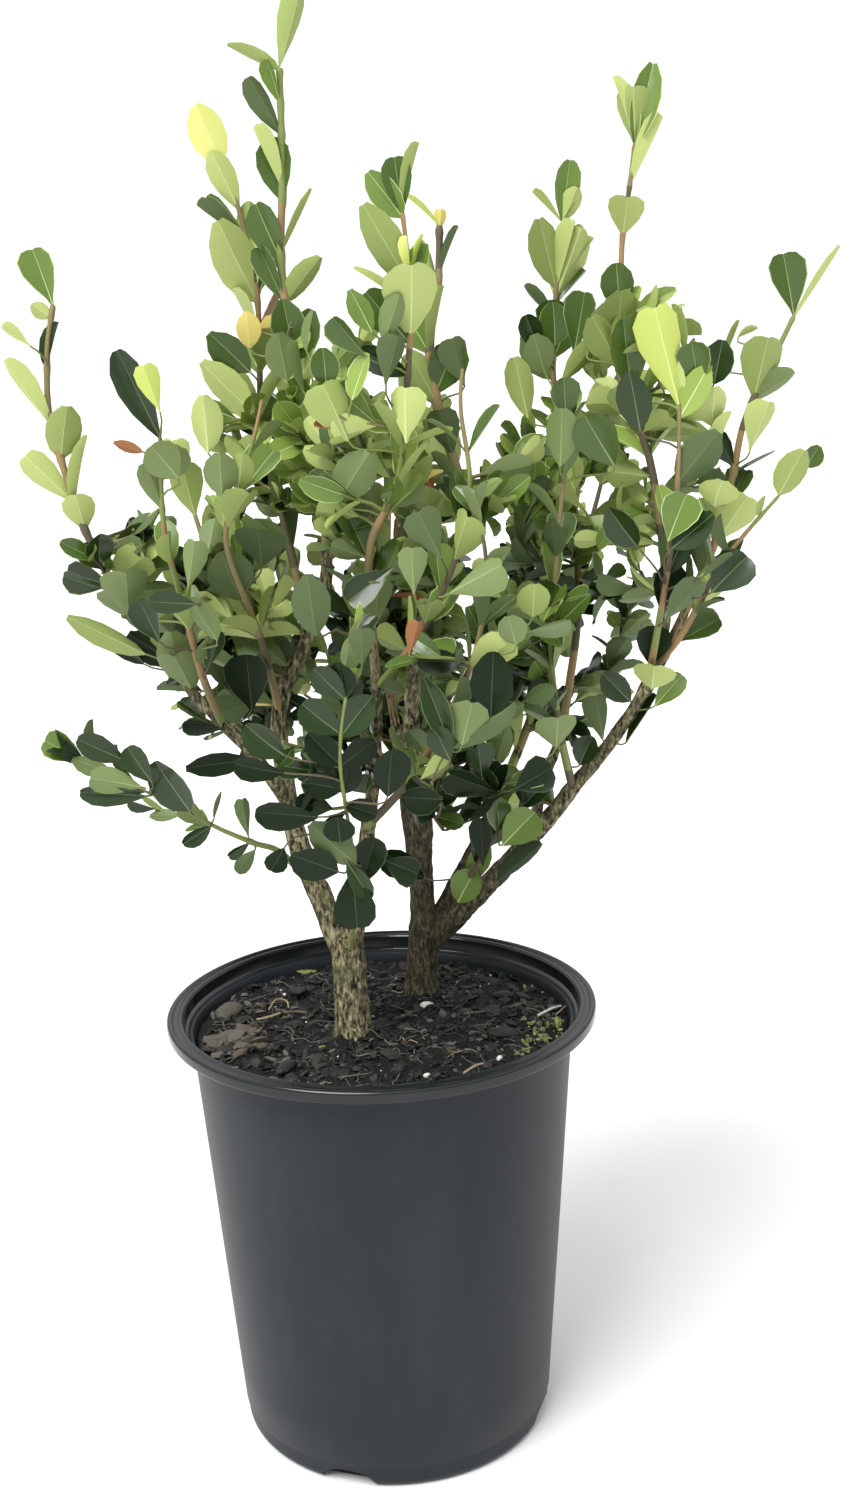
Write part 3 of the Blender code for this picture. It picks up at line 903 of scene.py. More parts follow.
@dataclass
class PottingMix:
    """The mix's crumbly surface, with bark chips, grains, straws, moss and a fallen leaflet on it."""

    pot: NurseryPot
    mould: StemMould
    edge_height: float = 160.0
    heap: float = 2.0
    mounds: tuple[tuple[float, float], ...] = ((-11.0, -12.0), (16.0, 29.0), (-54.0, -16.0))
    mound_height: float = 2.4
    mound_reach: float = 13.0
    clearance: float = 0.5
    rings: int = 46
    sides: int = 170
    chips: int = 3000
    fibres: int = 260
    seed: int = 11
    finish: DampMix = DampMix()
    skins: dict[Bit, Material] = field(default_factory=dict)

    def surface(self, x: float, y: float) -> float:
        """The height of the surface at a place, all in millimetres."""
        reach = self.pot.wall_radius(self.edge_height)
        middle = max(0.0, 1.0 - (x * x + y * y) / (reach * reach))
        place = Vector((x, y, 0.0))
        lumps = 1.5 * noise.noise(place / 8.0) + 1.2 * noise.noise(place / 3.4 + UP * 7)
        crumbs = 0.7 * noise.noise(place / 1.8 + UP * 3)
        mound = 0.0
        for mound_x, mound_y in self.mounds:
            away = (Vector((x - mound_x, y - mound_y)) / self.mound_reach).length
            mound = max(mound, self.mound_height * max(0.0, 1.0 - away * away))
        return self.edge_height + self.heap * middle + mound + lumps + crumbs

    def plug(self) -> bmesh.types.BMesh:
        """The turned plug with its uneven top."""
        edge = self.pot.wall_radius(self.edge_height) - self.pot.wall - self.clearance
        low = self.pot.wall_radius(8.0) - self.pot.wall - self.clearance
        foot = self.pot.wall_radius(0) - 11.0
        top = [(edge * ring / self.rings, self.edge_height) for ring in range(self.rings + 1)]
        profile = top + [(low, 8.0), (foot, 3.2), (0.0, 3.2)]
        shape = turned(profile, self.sides)
        for vert in shape.verts:
            if vert.co.z > (self.edge_height - 1.0) * MM:
                vert.co.z = self.surface(vert.co.x / MM, vert.co.y / MM) * MM
        return shape

    def crumb(self, rng: Random, detail: int, rough: float) -> Template:
        """A rough lump of unit size, a little different each time."""
        shape = bmesh.new()
        bmesh.ops.create_icosphere(shape, subdivisions=detail, radius=0.5)
        for vert in shape.verts:
            vert.co *= rng.uniform(1.0 - rough, 1.0 + rough)
        return Template.from_bmesh(shape)

    def lay(self, joined: JoinedMesh, crumb: Template, scrap: Scrap, rng: Random) -> None:
        """Lay one scrap on the surface, a little tilted and sunk into it."""
        turn = Matrix.Rotation(radians(scrap.turn), 3, "Z")
        turn = turn @ Matrix.Rotation(rng.gauss(0, 0.35), 3, "X")
        turn = turn @ Matrix.Rotation(rng.gauss(0, 0.28), 3, "Y")
        size = Matrix.Diagonal((scrap.length, scrap.width, scrap.thick)) * MM
        height = self.surface(scrap.x, scrap.y) + scrap.thick * 0.2
        where = np.array((scrap.x, scrap.y, height)) * MM
        points = crumb.points @ np.array(turn @ size).T + where
        joined.add(crumb, points, [self.skins[scrap.tone]])

    def strew(self, joined: JoinedMesh, crumbs: Sequence[Template], rng: Random) -> None:
        """Strew chips and crumbs of bark over the surface."""
        usual = (Bit.BLACK, Bit.DARK, Bit.BROWN, Bit.GREY, Bit.PERLITE)
        edge = self.pot.wall_radius(self.edge_height) - self.pot.wall - 2.0
        for _ in range(self.chips):
            radius = edge * rng.random() ** 0.5
            angle = rng.uniform(0, 2 * pi)
            tone = rng.choices(usual, (8, 5, 3, 1.8, 0.25))[0]
            length = min(10.0, rng.lognormvariate(0.75, 0.6))
            if tone is Bit.PERLITE:
                length = rng.uniform(0.8, 1.8)
            width = length * rng.uniform(0.25, 0.8)
            thick = min(width, 2.4) * rng.uniform(0.5, 1.0)
            place = (radius * cos(angle), radius * sin(angle))
            crumb = rng.choice(crumbs)
            chip = Scrap(*place, length, width, thick, rng.uniform(0, 360), tone)
            self.lay(joined, crumb, chip, rng)

    def tangle(self, joined: JoinedMesh, rng: Random) -> None:
        """Lay thin curved fibres over the surface, each in one plain tone."""
        usual = (Bit.GREY, Bit.TAN, Bit.STRAW, Bit.BROWN)
        edge = self.pot.wall_radius(self.edge_height) - self.pot.wall - 2.0
        for _ in range(self.fibres):
            place = Vector((rng.uniform(-edge, edge), rng.uniform(-edge, edge), 0.0))
            heading = rng.uniform(0, 2 * pi)
            step = rng.uniform(1.2, 4.5)
            route = []
            for _ in range(4):
                lift = Vector((0.0, 0.0, self.surface(place.x, place.y) + rng.uniform(0.2, 1.5)))
                route.append((place + lift) * MM)
                heading += rng.gauss(0, 0.5)
                place = place + Vector((cos(heading), sin(heading), 0.0)) * step
            if max(Vector(point[:2]).length for point in route) > edge * MM:
                continue
            tone = rng.choices(usual, (6, 3, 0.6, 4))[0]
            path = smooth_path(route, 1.4 * MM)
            radii = [rng.uniform(0.12, 0.28) * MM] * len(path)
            self.mould.bend(joined, path, radii, 4, [self.skins[tone]] * len(path))

    def scatter(self, joined: JoinedMesh, rng: Random) -> None:
        """Strew the small crumbs and fibres, then lay the larger scraps, the moss and the straws."""
        crumbs = [self.crumb(rng, 1, 0.3) for _ in range(8)]
        lumps = [self.crumb(rng, 2, 0.13) for _ in range(5)]
        self.strew(joined, crumbs, rng)
        self.tangle(joined, rng)
        for scrap in SCRAPS:
            self.lay(joined, rng.choice(lumps), scrap, rng)
        for patch in PATCHES:
            for _ in range(patch.pieces):
                place = (rng.gauss(patch.x, patch.spread), rng.gauss(patch.y, patch.spread))
                size = rng.uniform(0.6, 1.4) * patch.size
                if Vector(place).length < 70.0:
                    turn = 35 + rng.uniform(-1, 1) * patch.swing
                    bit = Scrap(*place, size, size * 0.6, size * patch.thick, turn, rng.choice(patch.tones))
                    self.lay(joined, rng.choice(crumbs), bit, rng)
        for straw in STRAWS:
            route = [Vector((x, y, self.surface(x, y) + lift)) * MM for x, y, lift in straw.route]
            path = smooth_path(route, 1.2 * MM)
            radii = [straw.diameter * MM / 2] * len(path)
            self.mould.bend(joined, path, radii, 6, [self.skins[straw.tone]] * len(path))

    def build(self) -> None:
        """Make the plug and everything that lies on it."""
        mix = shape_to_object("potting_mix", self.plug(), [self.finish.material()], 60.0)
        settle(mix, "potting_mix", ["soil"])
        self.skins = {tone: tone.material() for tone in Bit}
        chips = JoinedMesh()
        self.scatter(chips, Random(self.seed))
        settle(chips.to_object("bark_chips", 50.0), "potting_mix")


# ---- Wood ----


@dataclass(frozen=True)
class Leaf:
    """One leaf of a leading shoot, listed one by one.

    Attributes:
        back: how far below the shoot's tip it is set, in millimetres.
        bearing: where it points as seen from the front, in degrees from straight up, negative to the left.
        forward: the angle in degrees that it leans towards the front.
        length: its length in millimetres.
        width: its width in millimetres.
        face: where its upper face looks: 0 away from the front, 180 to the front, 90 edge on.
        tone: its tone.
    """

    back: float
    bearing: float
    forward: float
    length: float
    width: float
    face: float
    tone: Tone

    def direction(self) -> Vector:
        """The direction of its length."""
        bearing, forward = radians(self.bearing), radians(self.forward)
        return Vector((sin(bearing) * cos(forward), -sin(forward), cos(bearing) * cos(forward)))


def hand_set(*rows: tuple[float, float, float, float, float, float, Tone]) -> tuple[Leaf, ...]:
    """The leaves of a shoot, one for each row of a leaf's values."""
    return tuple(Leaf(*row) for row in rows)


@dataclass(frozen=True)
class Limb:
    """One limb from its foot to the tip of its shoot, in millimetres.

    Attributes:
        name: a plain name.
        route: the places that it grows through.
        foot: its diameter at the foot.
        tip: its diameter at the tip.
        bare: the share of its length below its first twigs.
        leaf: the usual length of its leaves.
        tone: the tone of its tip's leaves.
        leaves: the leaves of its tip that are listed one by one.
        bared: the ranges of its length, as shares, in which no leaf hangs in front of it.
    """

    name: str
    route: tuple[tuple[float, float, float], ...]
    foot: float
    tip: float
    bare: float
    leaf: float = 22.0
    tone: Tone = BRIGHT
    leaves: tuple[Leaf, ...] = ()
    bared: tuple[tuple[float, float], ...] = ()

    def path(self, step: float) -> list[Vector]:
        """Its smooth middle line, in metres, with points about a step in millimetres apart."""
        return smooth_path([Vector(point) * MM for point in self.route], step * MM)

    def radius(self, share: float) -> float:
        """Its radius in metres at a share of its length."""
        return (self.tip + (self.foot - self.tip) * (1.0 - share) ** 2.0) * MM / 2


TRUNKS = (
    Limb("trunk_left", ((-11, -12, 159), (-11.5, -10, 179), (-12, -8, 200)), 14.5, 12.0, 1.0),
    Limb("trunk_right", ((16, 29, 159), (17, 30, 175), (19, 30, 195)), 13.5, 11.5, 1.0),
)

# The tone of each listed leaf matches how bright that leaf shows, so it paints the leaf's light or shade as
# well as its own green.
LEFT_LEAVES = hand_set(
    (0, 21, 12, 27, 9, 25, BRIGHT), (1, -61, 0, 20, 6, -55, BRIGHT), (12, -14, 0, 16, 6, 150, BRIGHT),
    (22, -29, 5, 23, 8.5, 20, DARK), (40, -26, 12, 24, 5, -70, YOUNG), (44, -8, -8, 22, 13, 165, MID),
    (42, 12, -5, 17, 4, 100, MID), (62, 31, 0, 25, 3.5, 86, BRIGHT), (64, -24, -6, 22, 12, 165, MID),
    (79, 38, 8, 21, 9, 30, BRIGHT), (80, -22, -6, 24, 9, 160, MID), (97, -8, 10, 20, 13, 180, MID),
    (99, 24, 6, 19, 12, 176, MID),
)

LEFT_BRIGHT_LEAVES = hand_set(
    (0, -24, 14, 22, 13.5, 4, YELLOW), (17, -22, 12, 22, 10, 6, YOUNG), (30, 4, -10, 16, 9, 14, BRIGHT),
    (27, -44, 4, 21, 3.5, -80, MID), (46, 12, 8, 29, 10, 26, YOUNG), (28, -56, 4, 23, 3.5, -82, DARK),
    (50, -25, 14, 33, 16.5, 0, YOUNG), (48, 30, -8, 22, 11, 150, MID),
)

FAR_LEFT_LEAVES = hand_set(
    (0, -14, 4, 21, 13, 182, BRIGHT), (22, 14, 0, 17, 7, 150, DARK), (4, -57, 10, 8, 6, 10, YOUNG),
    (42, -31, 12, 28, 9, -30, YOUNG), (54, 12, 16, 21, 13, 15, BRIGHT), (70, -41, 10, 25, 10.5, 4, YOUNG),
    (70, 10, 0, 25, 7, 66, YOUNG), (80, -6, 20, 14, 12, 0, YOUNG), (102, -72, -10, 18, 13, 185, DARK),
    (116, -18, 48, 23, 17, -8, MID), (138, -52, -6, 20, 12, 170, SHADE), (150, -12, 38, 24, 16, 0, MID),
)

SHORT_LEFT_LEAVES = hand_set(
    (0, -22, 6, 32, 11, 172, DARK), (14, 34, 20, 15, 13, 10, MID), (24, -14, 14, 18, 8, 20, MID),
)

CENTRE_LEFT_LEAVES = hand_set(
    (2, -35, -6, 19, 10, 176, BRIGHT), (0, -8, 2, 18, 10, 184, MID), (0, 13, 4, 23, 6, 58, BRIGHT),
    (24, -31, 12, 31, 12, -12, BRIGHT), (22, -5, 12, 15, 4, 60, YELLOW), (22, 12, 10, 15, 4, 110, LIME),
    (30, 16, -4, 21, 8, 150, BRIGHT), (40, 4, 36, 27, 18.5, 0, YOUNG), (31, -49, 0, 23, 2.5, -84, YOUNG),
    (42, -40, -6, 22, 12, 170, MID), (52, -62, -6, 18, 9, 170, DARK),
)

CENTRE_LEAVES = hand_set(
    (0, -44, 4, 16, 2.2, -88, LIME), (2, 8, 6, 8, 4.5, 0, STRAW), (18, 20, 0, 20, 3.5, 84, DARK),
    (20, -22, 6, 17, 8, 32, BRIGHT), (46, 9, 4, 27, 8, 60, BRIGHT), (44, -30, -10, 18, 12, 160, BRIGHT),
    (58, 24, 6, 20, 14, 178, MID), (62, -26, 16, 22, 12, 12, BRIGHT),
)

MIDDLE_RIGHT_LEAVES = hand_set(
    (0, 8, -4, 23, 10, 180, BRIGHT), (0, 25, 10, 14, 8, 0, YOUNG), (-2, -45, 4, 17, 3, -84, YOUNG),
    (16, 38, 0, 18, 3, 84, BRIGHT), (24, -16, 14, 28, 12.5, 0, BRIGHT), (24, 17, 18, 27, 8, 30, YOUNG),
    (26, 33, 0, 25, 7, 40, BRIGHT), (28, 21, 6, 28, 14, 4, YOUNG), (30, 46, -4, 18, 7, 120, MID),
    (36, 54, -4, 15, 6, 130, MID), (36, -42, 0, 18, 6, -60, DARK), (44, -4, 22, 18, 13, 180, MID),
    (50, 24, 6, 24, 14, 176, MID), (58, -36, 10, 21, 12, 10, MID),
)

TALL_RIGHT_LEAVES = hand_set(
    (0, 15, -4, 29, 10.5, 178, BRIGHT), (0, -2, 14, 20, 12, 0, BRIGHT), (0, -13, 0, 24, 7, -62, YOUNG),
    (14, 30, 2, 27, 3.8, 78, YOUNG), (31, 3, 38, 17, 13, 0, YOUNG), (56, -8, 10, 16, 12, 176, MID),
    (62, -8, 50, 18, 13, 0, BRIGHT), (60, 30, 20, 14, 7, 150, YOUNG), (74, -34, 12, 20, 12, 10, BRIGHT),
    (76, 20, 8, 24, 14, 176, YOUNG),
)

FAR_RIGHT_LEAVES = hand_set(
    (0, -10, 2, 24, 14, 180, MID), (0, 35, 6, 29, 4.5, 76, YOUNG), (32, 10, 14, 24, 16, 2, BRIGHT),
    (34, 52, 4, 19, 10, 26, MID), (60, 66, 0, 17, 5, 88, DARK), (58, -28, 6, 18, 11, 150, DARK),
)

LOW_RIGHT_LEAVES = hand_set(
    (0, 23, 12, 18.5, 11, 4, BRIGHT), (10, 8, 6, 8, 5, 40, BRIGHT), (26, -20, 4, 15, 9, 60, DARK),
)

YELLOW_LEAVES = hand_set(
    (0, -17, 12, 36, 15.5, 6, LIME), (4, 32, 0, 20, 10, 165, YOUNG), (26, 36, 16, 22, 14, 10, DARK),
)

FRONT_LEAVES = hand_set(
    (0, -8, 8, 12, 10, 172, SHADE), (1, -42, 8, 15, 9, 178, DARK), (1, 31, 8, 12, 5, 120, MID),
    (13, -49, 10, 17, 11, 178, DARK), (14, 37, 10, 17, 11, 176, DARK), (25, -43, 8, 15, 10, 176, SHADE),
    (26, 51, 8, 15, 9, 178, SHADE), (36, -75, 8, 12, 10, 178, SHADE), (38, 10, 14, 13, 11, 176, SHADE),
    (44, 108, 6, 11, 8, 170, SHADE),
)

LOW_LEFT_LEAVES = hand_set(
    (0, -82, 4, 12, 6, 178, DARK), (44, -120, 4, 10, 5, 160, DARK),
)

LIMBS = (
    Limb("left", (
        (-12, -8, 190), (-21, -6, 215), (-28, -4, 234), (-32, 0, 256), (-33, 2, 287), (-22, 4, 311),
        (-14, 6, 332), (-13, 8, 362), (-19, 10, 398), (-24, 12, 443), (-22, 12, 474), (-21, 12, 511),
    ), 10.0, 2.2, 0.30, 22, YOUNG, LEFT_LEAVES, ((0.0, 0.10), (0.29, 0.42))),
    Limb("left_inner", (
        (-11, -8, 190), (-5, -15, 228), (0, -25, 261), (3, -35, 296), (2, -42, 330), (3, -45, 351),
        (9, -47, 364), (14, -48, 377), (18, -48, 410), (20, -46, 434), (19, -44, 446), (18, -42, 458),
    ), 8.0, 1.4, 0.22, 21, BRIGHT, CENTRE_LEFT_LEAVES),
    Limb("left_low", (
        (-24, -6, 220), (-34, -28, 240), (-42, -42, 248), (-53, -50, 256), (-63, -55, 264),
        (-76, -60, 273),
    ), 3.0, 1.0, 0.5, 14, DARK, LOW_LEFT_LEAVES),
    Limb("far_left", (
        (-31, -1, 250), (-42, -12, 272), (-53, -14, 285), (-64, -12, 298), (-72, -10, 312),
        (-85, -8, 326), (-91, -6, 339), (-98, -4, 355), (-102, -2, 368), (-108, 0, 395), (-107, 0, 418),
        (-104, 2, 434),
    ), 5.4, 1.9, 0.12, 20, BRIGHT, FAR_LEFT_LEAVES),
    Limb("short_left", (
        (-53, -14, 285), (-58, -25, 305), (-62, -32, 330), (-66, -38, 355), (-66, -40, 378),
        (-65, -42, 389),
    ), 3.3, 1.4, 0.15, 18, MID, SHORT_LEFT_LEAVES),
    Limb("left_bright", (
        (-22, 4, 311), (-25, 14, 335), (-30, 22, 362), (-35, 26, 387), (-34, 28, 433), (-38, 28, 462),
        (-44, 28, 482),
    ), 3.8, 1.3, 0.2, 21, YOUNG, LEFT_BRIGHT_LEAVES),
    Limb("left_front", (
        (-33, 2, 285), (-37, -20, 316), (-46, -34, 352), (-40, -36, 371), (-34, -36, 389),
        (-31, -36, 400),
    ), 3.2, 1.2, 0.2, 19, BRIGHT),
    Limb("centre", (
        (18, 30, 184), (18, 28, 217), (19, 24, 237), (16, 16, 269), (17, 8, 295), (18, 3, 310),
        (28, -4, 330), (36, -8, 350), (36, -10, 367), (30, -8, 390), (27, -5, 413), (31, -2, 439),
        (32, 0, 456),
    ), 10.5, 2.4, 0.28, 19, BRIGHT, CENTRE_LEAVES, ((0.0, 0.14),)),
    Limb("right", (
        (20, 30, 182), (45, 20, 210), (67, 8, 238), (76, 4, 251), (87, 0, 265), (98, -4, 282),
        (103, -6, 293), (109, -8, 312), (109, -8, 337), (104, -6, 374), (94, -4, 403), (95, -2, 429),
        (96, 0, 449), (99, 2, 467), (101, 3, 481),
    ), 9.6, 1.5, 0.24, 20, YOUNG, TALL_RIGHT_LEAVES, ((0.0, 0.34),)),
    Limb("right_second", (
        (62, 12, 232), (65, 16, 248), (73, 24, 264), (79, 34, 285), (84, 42, 316), (83, 48, 363),
        (77, 50, 393), (78, 50, 430), (80, 50, 448), (81, 50, 459),
    ), 4.6, 1.4, 0.2, 19, YOUNG, MIDDLE_RIGHT_LEAVES),
    Limb("far_right", (
        (102, -6, 288), (112, -3, 306), (120, 0, 321), (131, 6, 343), (137, 8, 364), (142, 10, 385),
        (153, 12, 407), (160, 12, 421),
    ), 4.4, 1.8, 0.15, 20, BRIGHT, FAR_RIGHT_LEAVES),
    Limb("far_right_low", (
        (107, -8, 300), (115, -14, 312), (125, -18, 332), (134, -20, 345), (147, -22, 360),
    ), 3.0, 1.2, 0.15, 16, BRIGHT, LOW_RIGHT_LEAVES),
    Limb("right_yellow", (
        (103, -6, 292), (104, -20, 312), (107, -34, 347), (108, -40, 370), (108, -42, 384),
        (108, -42, 393),
    ), 3.0, 1.2, 0.2, 19, YOUNG, YELLOW_LEAVES),
    Limb("right_middle", (
        (76, 4, 250), (70, -10, 275), (66, -20, 305), (68, -22, 340), (72, -20, 372), (74, -18, 388),
    ), 3.4, 1.2, 0.2, 19, MID),
    Limb("right_under", (
        (33, 25, 198), (36, 4, 218), (44, -16, 238), (54, -28, 254),
    ), 3.2, 1.2, 0.3, 18, DARK),
    Limb("front", (
        (-11, -13, 196), (-8, -30, 222), (-8, -56, 250), (-9, -74, 268), (-10, -84, 284),
        (-9, -90, 298), (-7, -92, 309),
    ), 1.9, 1.0, 0.95, 18, DARK, FRONT_LEAVES, ((0.6, 1.0),)),
    Limb("front_right", (
        (-3, -22, 246), (12, -46, 268), (24, -60, 290), (36, -68, 318), (40, -68, 345), (38, -66, 362),
    ), 3.4, 1.2, 0.25, 18, MID),
    Limb("centre_front", (
        (3, -36, 300), (18, -52, 321), (30, -58, 345), (36, -60, 370), (34, -58, 395), (35, -57, 408),
    ), 3.0, 1.2, 0.2, 18, BRIGHT),
    Limb("back_left", (
        (-31, -3, 243), (-35, 24, 262), (-44, 50, 286), (-56, 68, 318), (-66, 80, 348), (-71, 86, 368),
    ), 6.0, 1.5, 0.25, 23, BRIGHT),
    Limb("back", (
        (18, 31, 192), (14, 52, 228), (10, 70, 268), (9, 86, 306), (12, 102, 345), (14, 109, 370),
    ), 7.0, 1.5, 0.25, 23, BRIGHT),
    Limb("back_right", (
        (24, 31, 192), (46, 48, 226), (68, 66, 268), (84, 80, 310), (98, 92, 348), (105, 97, 372),
    ), 7.0, 1.5, 0.25, 23, BRIGHT),
    Limb("heart", (
        (18, 27, 226), (12, 36, 258), (8, 42, 300), (14, 46, 345), (20, 48, 382), (22, 48, 398),
    ), 5.5, 1.5, 0.25, 22, BRIGHT),
)


@dataclass(frozen=True)
class ShownLeaf:
    """A leaf at the front of the crown, on a small twig of its own.

    Its foot is at a pixel of the view, counted from the left of 849 and from the top of 1493. The other
    values are those of a leaf.
    """

    across: float
    down: float
    bearing: float
    forward: float
    length: float
    width: float
    face: float
    tone: Tone

    def leaf(self) -> Leaf:
        """The leaf itself, set at the tip of its twig."""
        return Leaf(0, self.bearing, self.forward, self.length, self.width, self.face, self.tone)


@dataclass(frozen=True)
class SkyGap:
    """A place where the sky shows through the crown: its middle and radius in pixels of the view."""

    across: float
    down: float
    radius: float


# The tone of each shown leaf matches how bright that leaf shows, so it paints the leaf's light or shade as
# well as its own green.
SHOWN_LEAVES = tuple(ShownLeaf(*row) for row in (
    # Top of the crown.
    (250, 372, -42, 8, 20, 13, 178, MID), (250, 348, -4, 8, 13, 10, 0, STRAW),
    (260, 329, 80, 8, 8.5, 8, 0, STRAW), (287, 380, -10, 6, 17, 12, 5, MID),
    (262, 414, 28, 12, 21, 6, 40, BRIGHT), (304, 392, -2, 4, 18, 7, 60, MID),
    (307, 352, 8, 2, 14, 3, 60, MID), (348, 441, -20, 8, 21, 15, 0, BRIGHT),
    (406, 443, 0, 8, 19, 13, 0, YOUNG), (352, 400, 20, 0, 16, 8, 140, YOUNG),
    (366, 356, -38, 4, 17, 10, 160, MID), (372, 332, -24, 0, 15, 8, 150, BRIGHT),
    (384, 342, 20, 0, 16, 8, 20, MID), (386, 385, 15, 0, 17, 11, 20, DARK),
    (326, 385, 0, 6, 12, 10, 170, MID), (254, 413, -45, 8, 26, 13, 0, YOUNG),
    (208, 453, 0, 8, 20, 11, 0, YOUNG), (222, 496, 0, 4, 15, 12, 10, MID),
    (178, 478, -35, 8, 14, 13, 0, MID), (160, 412, -16, 16, 17, 8.5, 0, LIME),
    (143, 452, -71, 4, 10, 4, 10, ORANGE), (30, 346, -54, 6, 12, 6, -30, YOUNG),
    (262, 566, 2, 30, 17, 19, 0, DARK), (339, 501, 32, 10, 20, 14, 0, MID),
    # Left side.
    (128, 614, 6, 22, 17, 17, 4, MID), (145, 654, -61, 4, 31, 8.5, 0, BRIGHT),
    (181, 682, -8, 8, 20, 14, 4, MID), (97, 587, -72, 0, 13, 9, 150, DARK),
    (144, 664, -48, 0, 19, 8, 160, SHADE), (160, 642, -22, 0, 17, 11, 170, DARK),
    (240, 600, -18, 18, 19, 17, 4, DARK), (316, 636, -6, 14, 21, 13, -8, DARK),
    (252, 710, -2, 8, 23, 17, 178, SHADE), (225, 729, -81, 2, 16, 6.5, 170, SHADE),
    (249, 760, -93, 4, 23, 9, 170, SHADE), (284, 773, -78, 4, 17, 9, 175, SHADE),
    (284, 755, -50, 8, 16, 11, 170, DARK), (196, 604, -85, 4, 16, 8, 178, DARK),
    (217, 640, -28, 8, 18, 9, 0, MID), (188, 588, 12, 6, 17, 9, 0, MID),
    (208, 668, 24, 4, 15, 7, 175, DARK),
    # Low spray on the left.
    (126, 761, -62, 4, 18, 9, 180, DARK), (141, 787, -72, 12, 18, 9.5, 5, MID),
    (146, 796, -83, 2, 22, 7.5, 175, DARK), (152, 782, -32, 4, 15, 9, 165, DARK),
    (211, 826, -123, 2, 12, 6, 178, DARK), (214, 819, 20, 2, 10, 3, 60, DARK),
    (190, 811, -30, 8, 21, 15, 165, DARK), (255, 850, -137, 0, 11, 6, 10, DARK),
    (284, 848, -150, 4, 9, 8, 170, SHADE), (249, 838, -7, 0, 15, 5.5, 30, DARK),
    # Low front.
    (318, 817, -80, 6, 21, 11, 175, SHADE), (356, 864, -45, 8, 21, 12.5, 6, DARK),
    (347, 862, 150, 6, 15, 7, 170, DARK), (340, 842, 0, 10, 9, 11, 176, SHADE),
    (384, 860, 112, 6, 13, 11, 176, SHADE), (338, 872, -62, 6, 17, 15, 178, SHADE),
    (362, 886, 16, 2, 19, 11, 172, SHADE), (352, 872, 176, 10, 20, 14.5, 175, SHADE),
    (424, 878, -52, 6, 20, 14, 172, SHADE), (388, 796, 5, 10, 17, 13, 178, SHADE),
    (421, 779, 62, 8, 12, 9, 20, BRIGHT), (416, 776, -22, 8, 10, 5, 30, DARK),
    (442, 799, -85, 6, 14, 11, 178, SHADE), (409, 655, 18, 6, 12, 5.5, 10, ORANGE),
    (362, 666, 0, 4, 13, 9, 10, DARK), (393, 568, -122, 8, 20, 11, 178, DARK),
    (414, 594, -2, 6, 16, 10, 0, MID), (450, 593, 62, 10, 20, 13, -30, MID),
    (441, 558, -26, 8, 18, 13, 0, DARK),
    # Right of the front.
    (462, 745, 12, 20, 18, 14, 0, MID), (452, 748, 57, 4, 26, 8, -40, DARK),
    (491, 720, 2, 6, 23, 14, 178, SHADE), (449, 741, -19, 4, 23, 9, 172, DARK),
    (450, 760, -24, 6, 13, 9, 170, DARK), (499, 793, -64, 6, 21, 12, 178, SHADE),
    (483, 866, 0, 4, 20, 9, 172, SHADE), (513, 790, 62, 4, 16, 13, 178, SHADE),
    (503, 845, 41, 10, 18, 14, 178, BRIGHT), (497, 882, 47, 4, 23, 7.5, 10, SHADE),
    (458, 902, 26, 8, 15, 12.5, 176, BRIGHT), (533, 617, 0, 12, 12, 11, 0, BRIGHT),
    (516, 645, -15, 12, 11, 10, 0, MID), (523, 634, 75, 4, 17, 8, -50, DARK),
    (556, 747, 2, 24, 14, 15, 0, MID), (603, 740, -8, 4, 18, 10, 0, DARK),
    (580, 765, 20, 4, 12, 10, 176, DARK), (652, 689, 0, 32, 13, 16, 0, YOUNG),
    (655, 706, 40, 4, 16, 9, 176, BRIGHT), (630, 701, -44, 6, 15, 10, 165, DARK),
    (650, 664, 8, 6, 15, 13, 178, SHADE), (610, 666, 30, 8, 14, 11, 0, DARK),
    (626, 743, 34, 4, 22, 8, 120, DARK),
    # Right side and its top.
    (614, 465, -32, 10, 21, 15, 178, MID), (712, 426, 0, 10, 14, 12, 0, YOUNG),
    (700, 390, -12, 6, 17, 12, 176, MID), (714, 384, 10, 6, 15, 11, 170, DARK),
    (722, 364, 24, 4, 17, 4.5, 50, BRIGHT), (738, 338, 62, 4, 8, 4, 30, YOUNG),
    (713, 462, 15, 0, 18, 9, 50, YOUNG), (714, 506, 2, 45, 13, 14, 0, YOUNG),
    (712, 592, 42, 6, 18, 15, 176, DARK), (703, 577, 56, 6, 13, 6, 50, DARK),
    (667, 619, 42, 8, 19, 13, 18, DARK), (637, 546, -38, 8, 17, 12, 176, DARK),
    (668, 541, 20, 4, 18, 14, 178, BRIGHT), (672, 548, 52, 10, 18, 12, 160, DARK),
    (632, 392, -9, 4, 25, 13.8, 178, MID), (640, 430, -9, 4, 20, 12.5, 176, DARK),
    (555, 345, 0, 6, 16, 12, 178, MID), (588, 352, 30, 6, 22, 11, 10, MID),
    (540, 352, -22, 4, 15, 9, 160, DARK), (545, 373, -18, 8, 15, 12, 0, MID),
    (528, 418, -12, 6, 22, 10, 0, BRIGHT), (560, 466, 4, 4, 20, 12, 0, MID),
    (574, 354, 12, 2, 24, 13, 160, MID), (562, 382, 44, 6, 20, 9, 20, BRIGHT),
    (566, 415, -5, 4, 13, 11, 180, MID), (750, 452, 18, 8, 20, 13, 20, YOUNG),
    (805, 467, 35, 6, 9, 8, 178, MID), (636, 311, 63, 6, 16, 6, 165, YOUNG),
    (465, 386, -15, 4, 18, 12, 15, DARK),
))

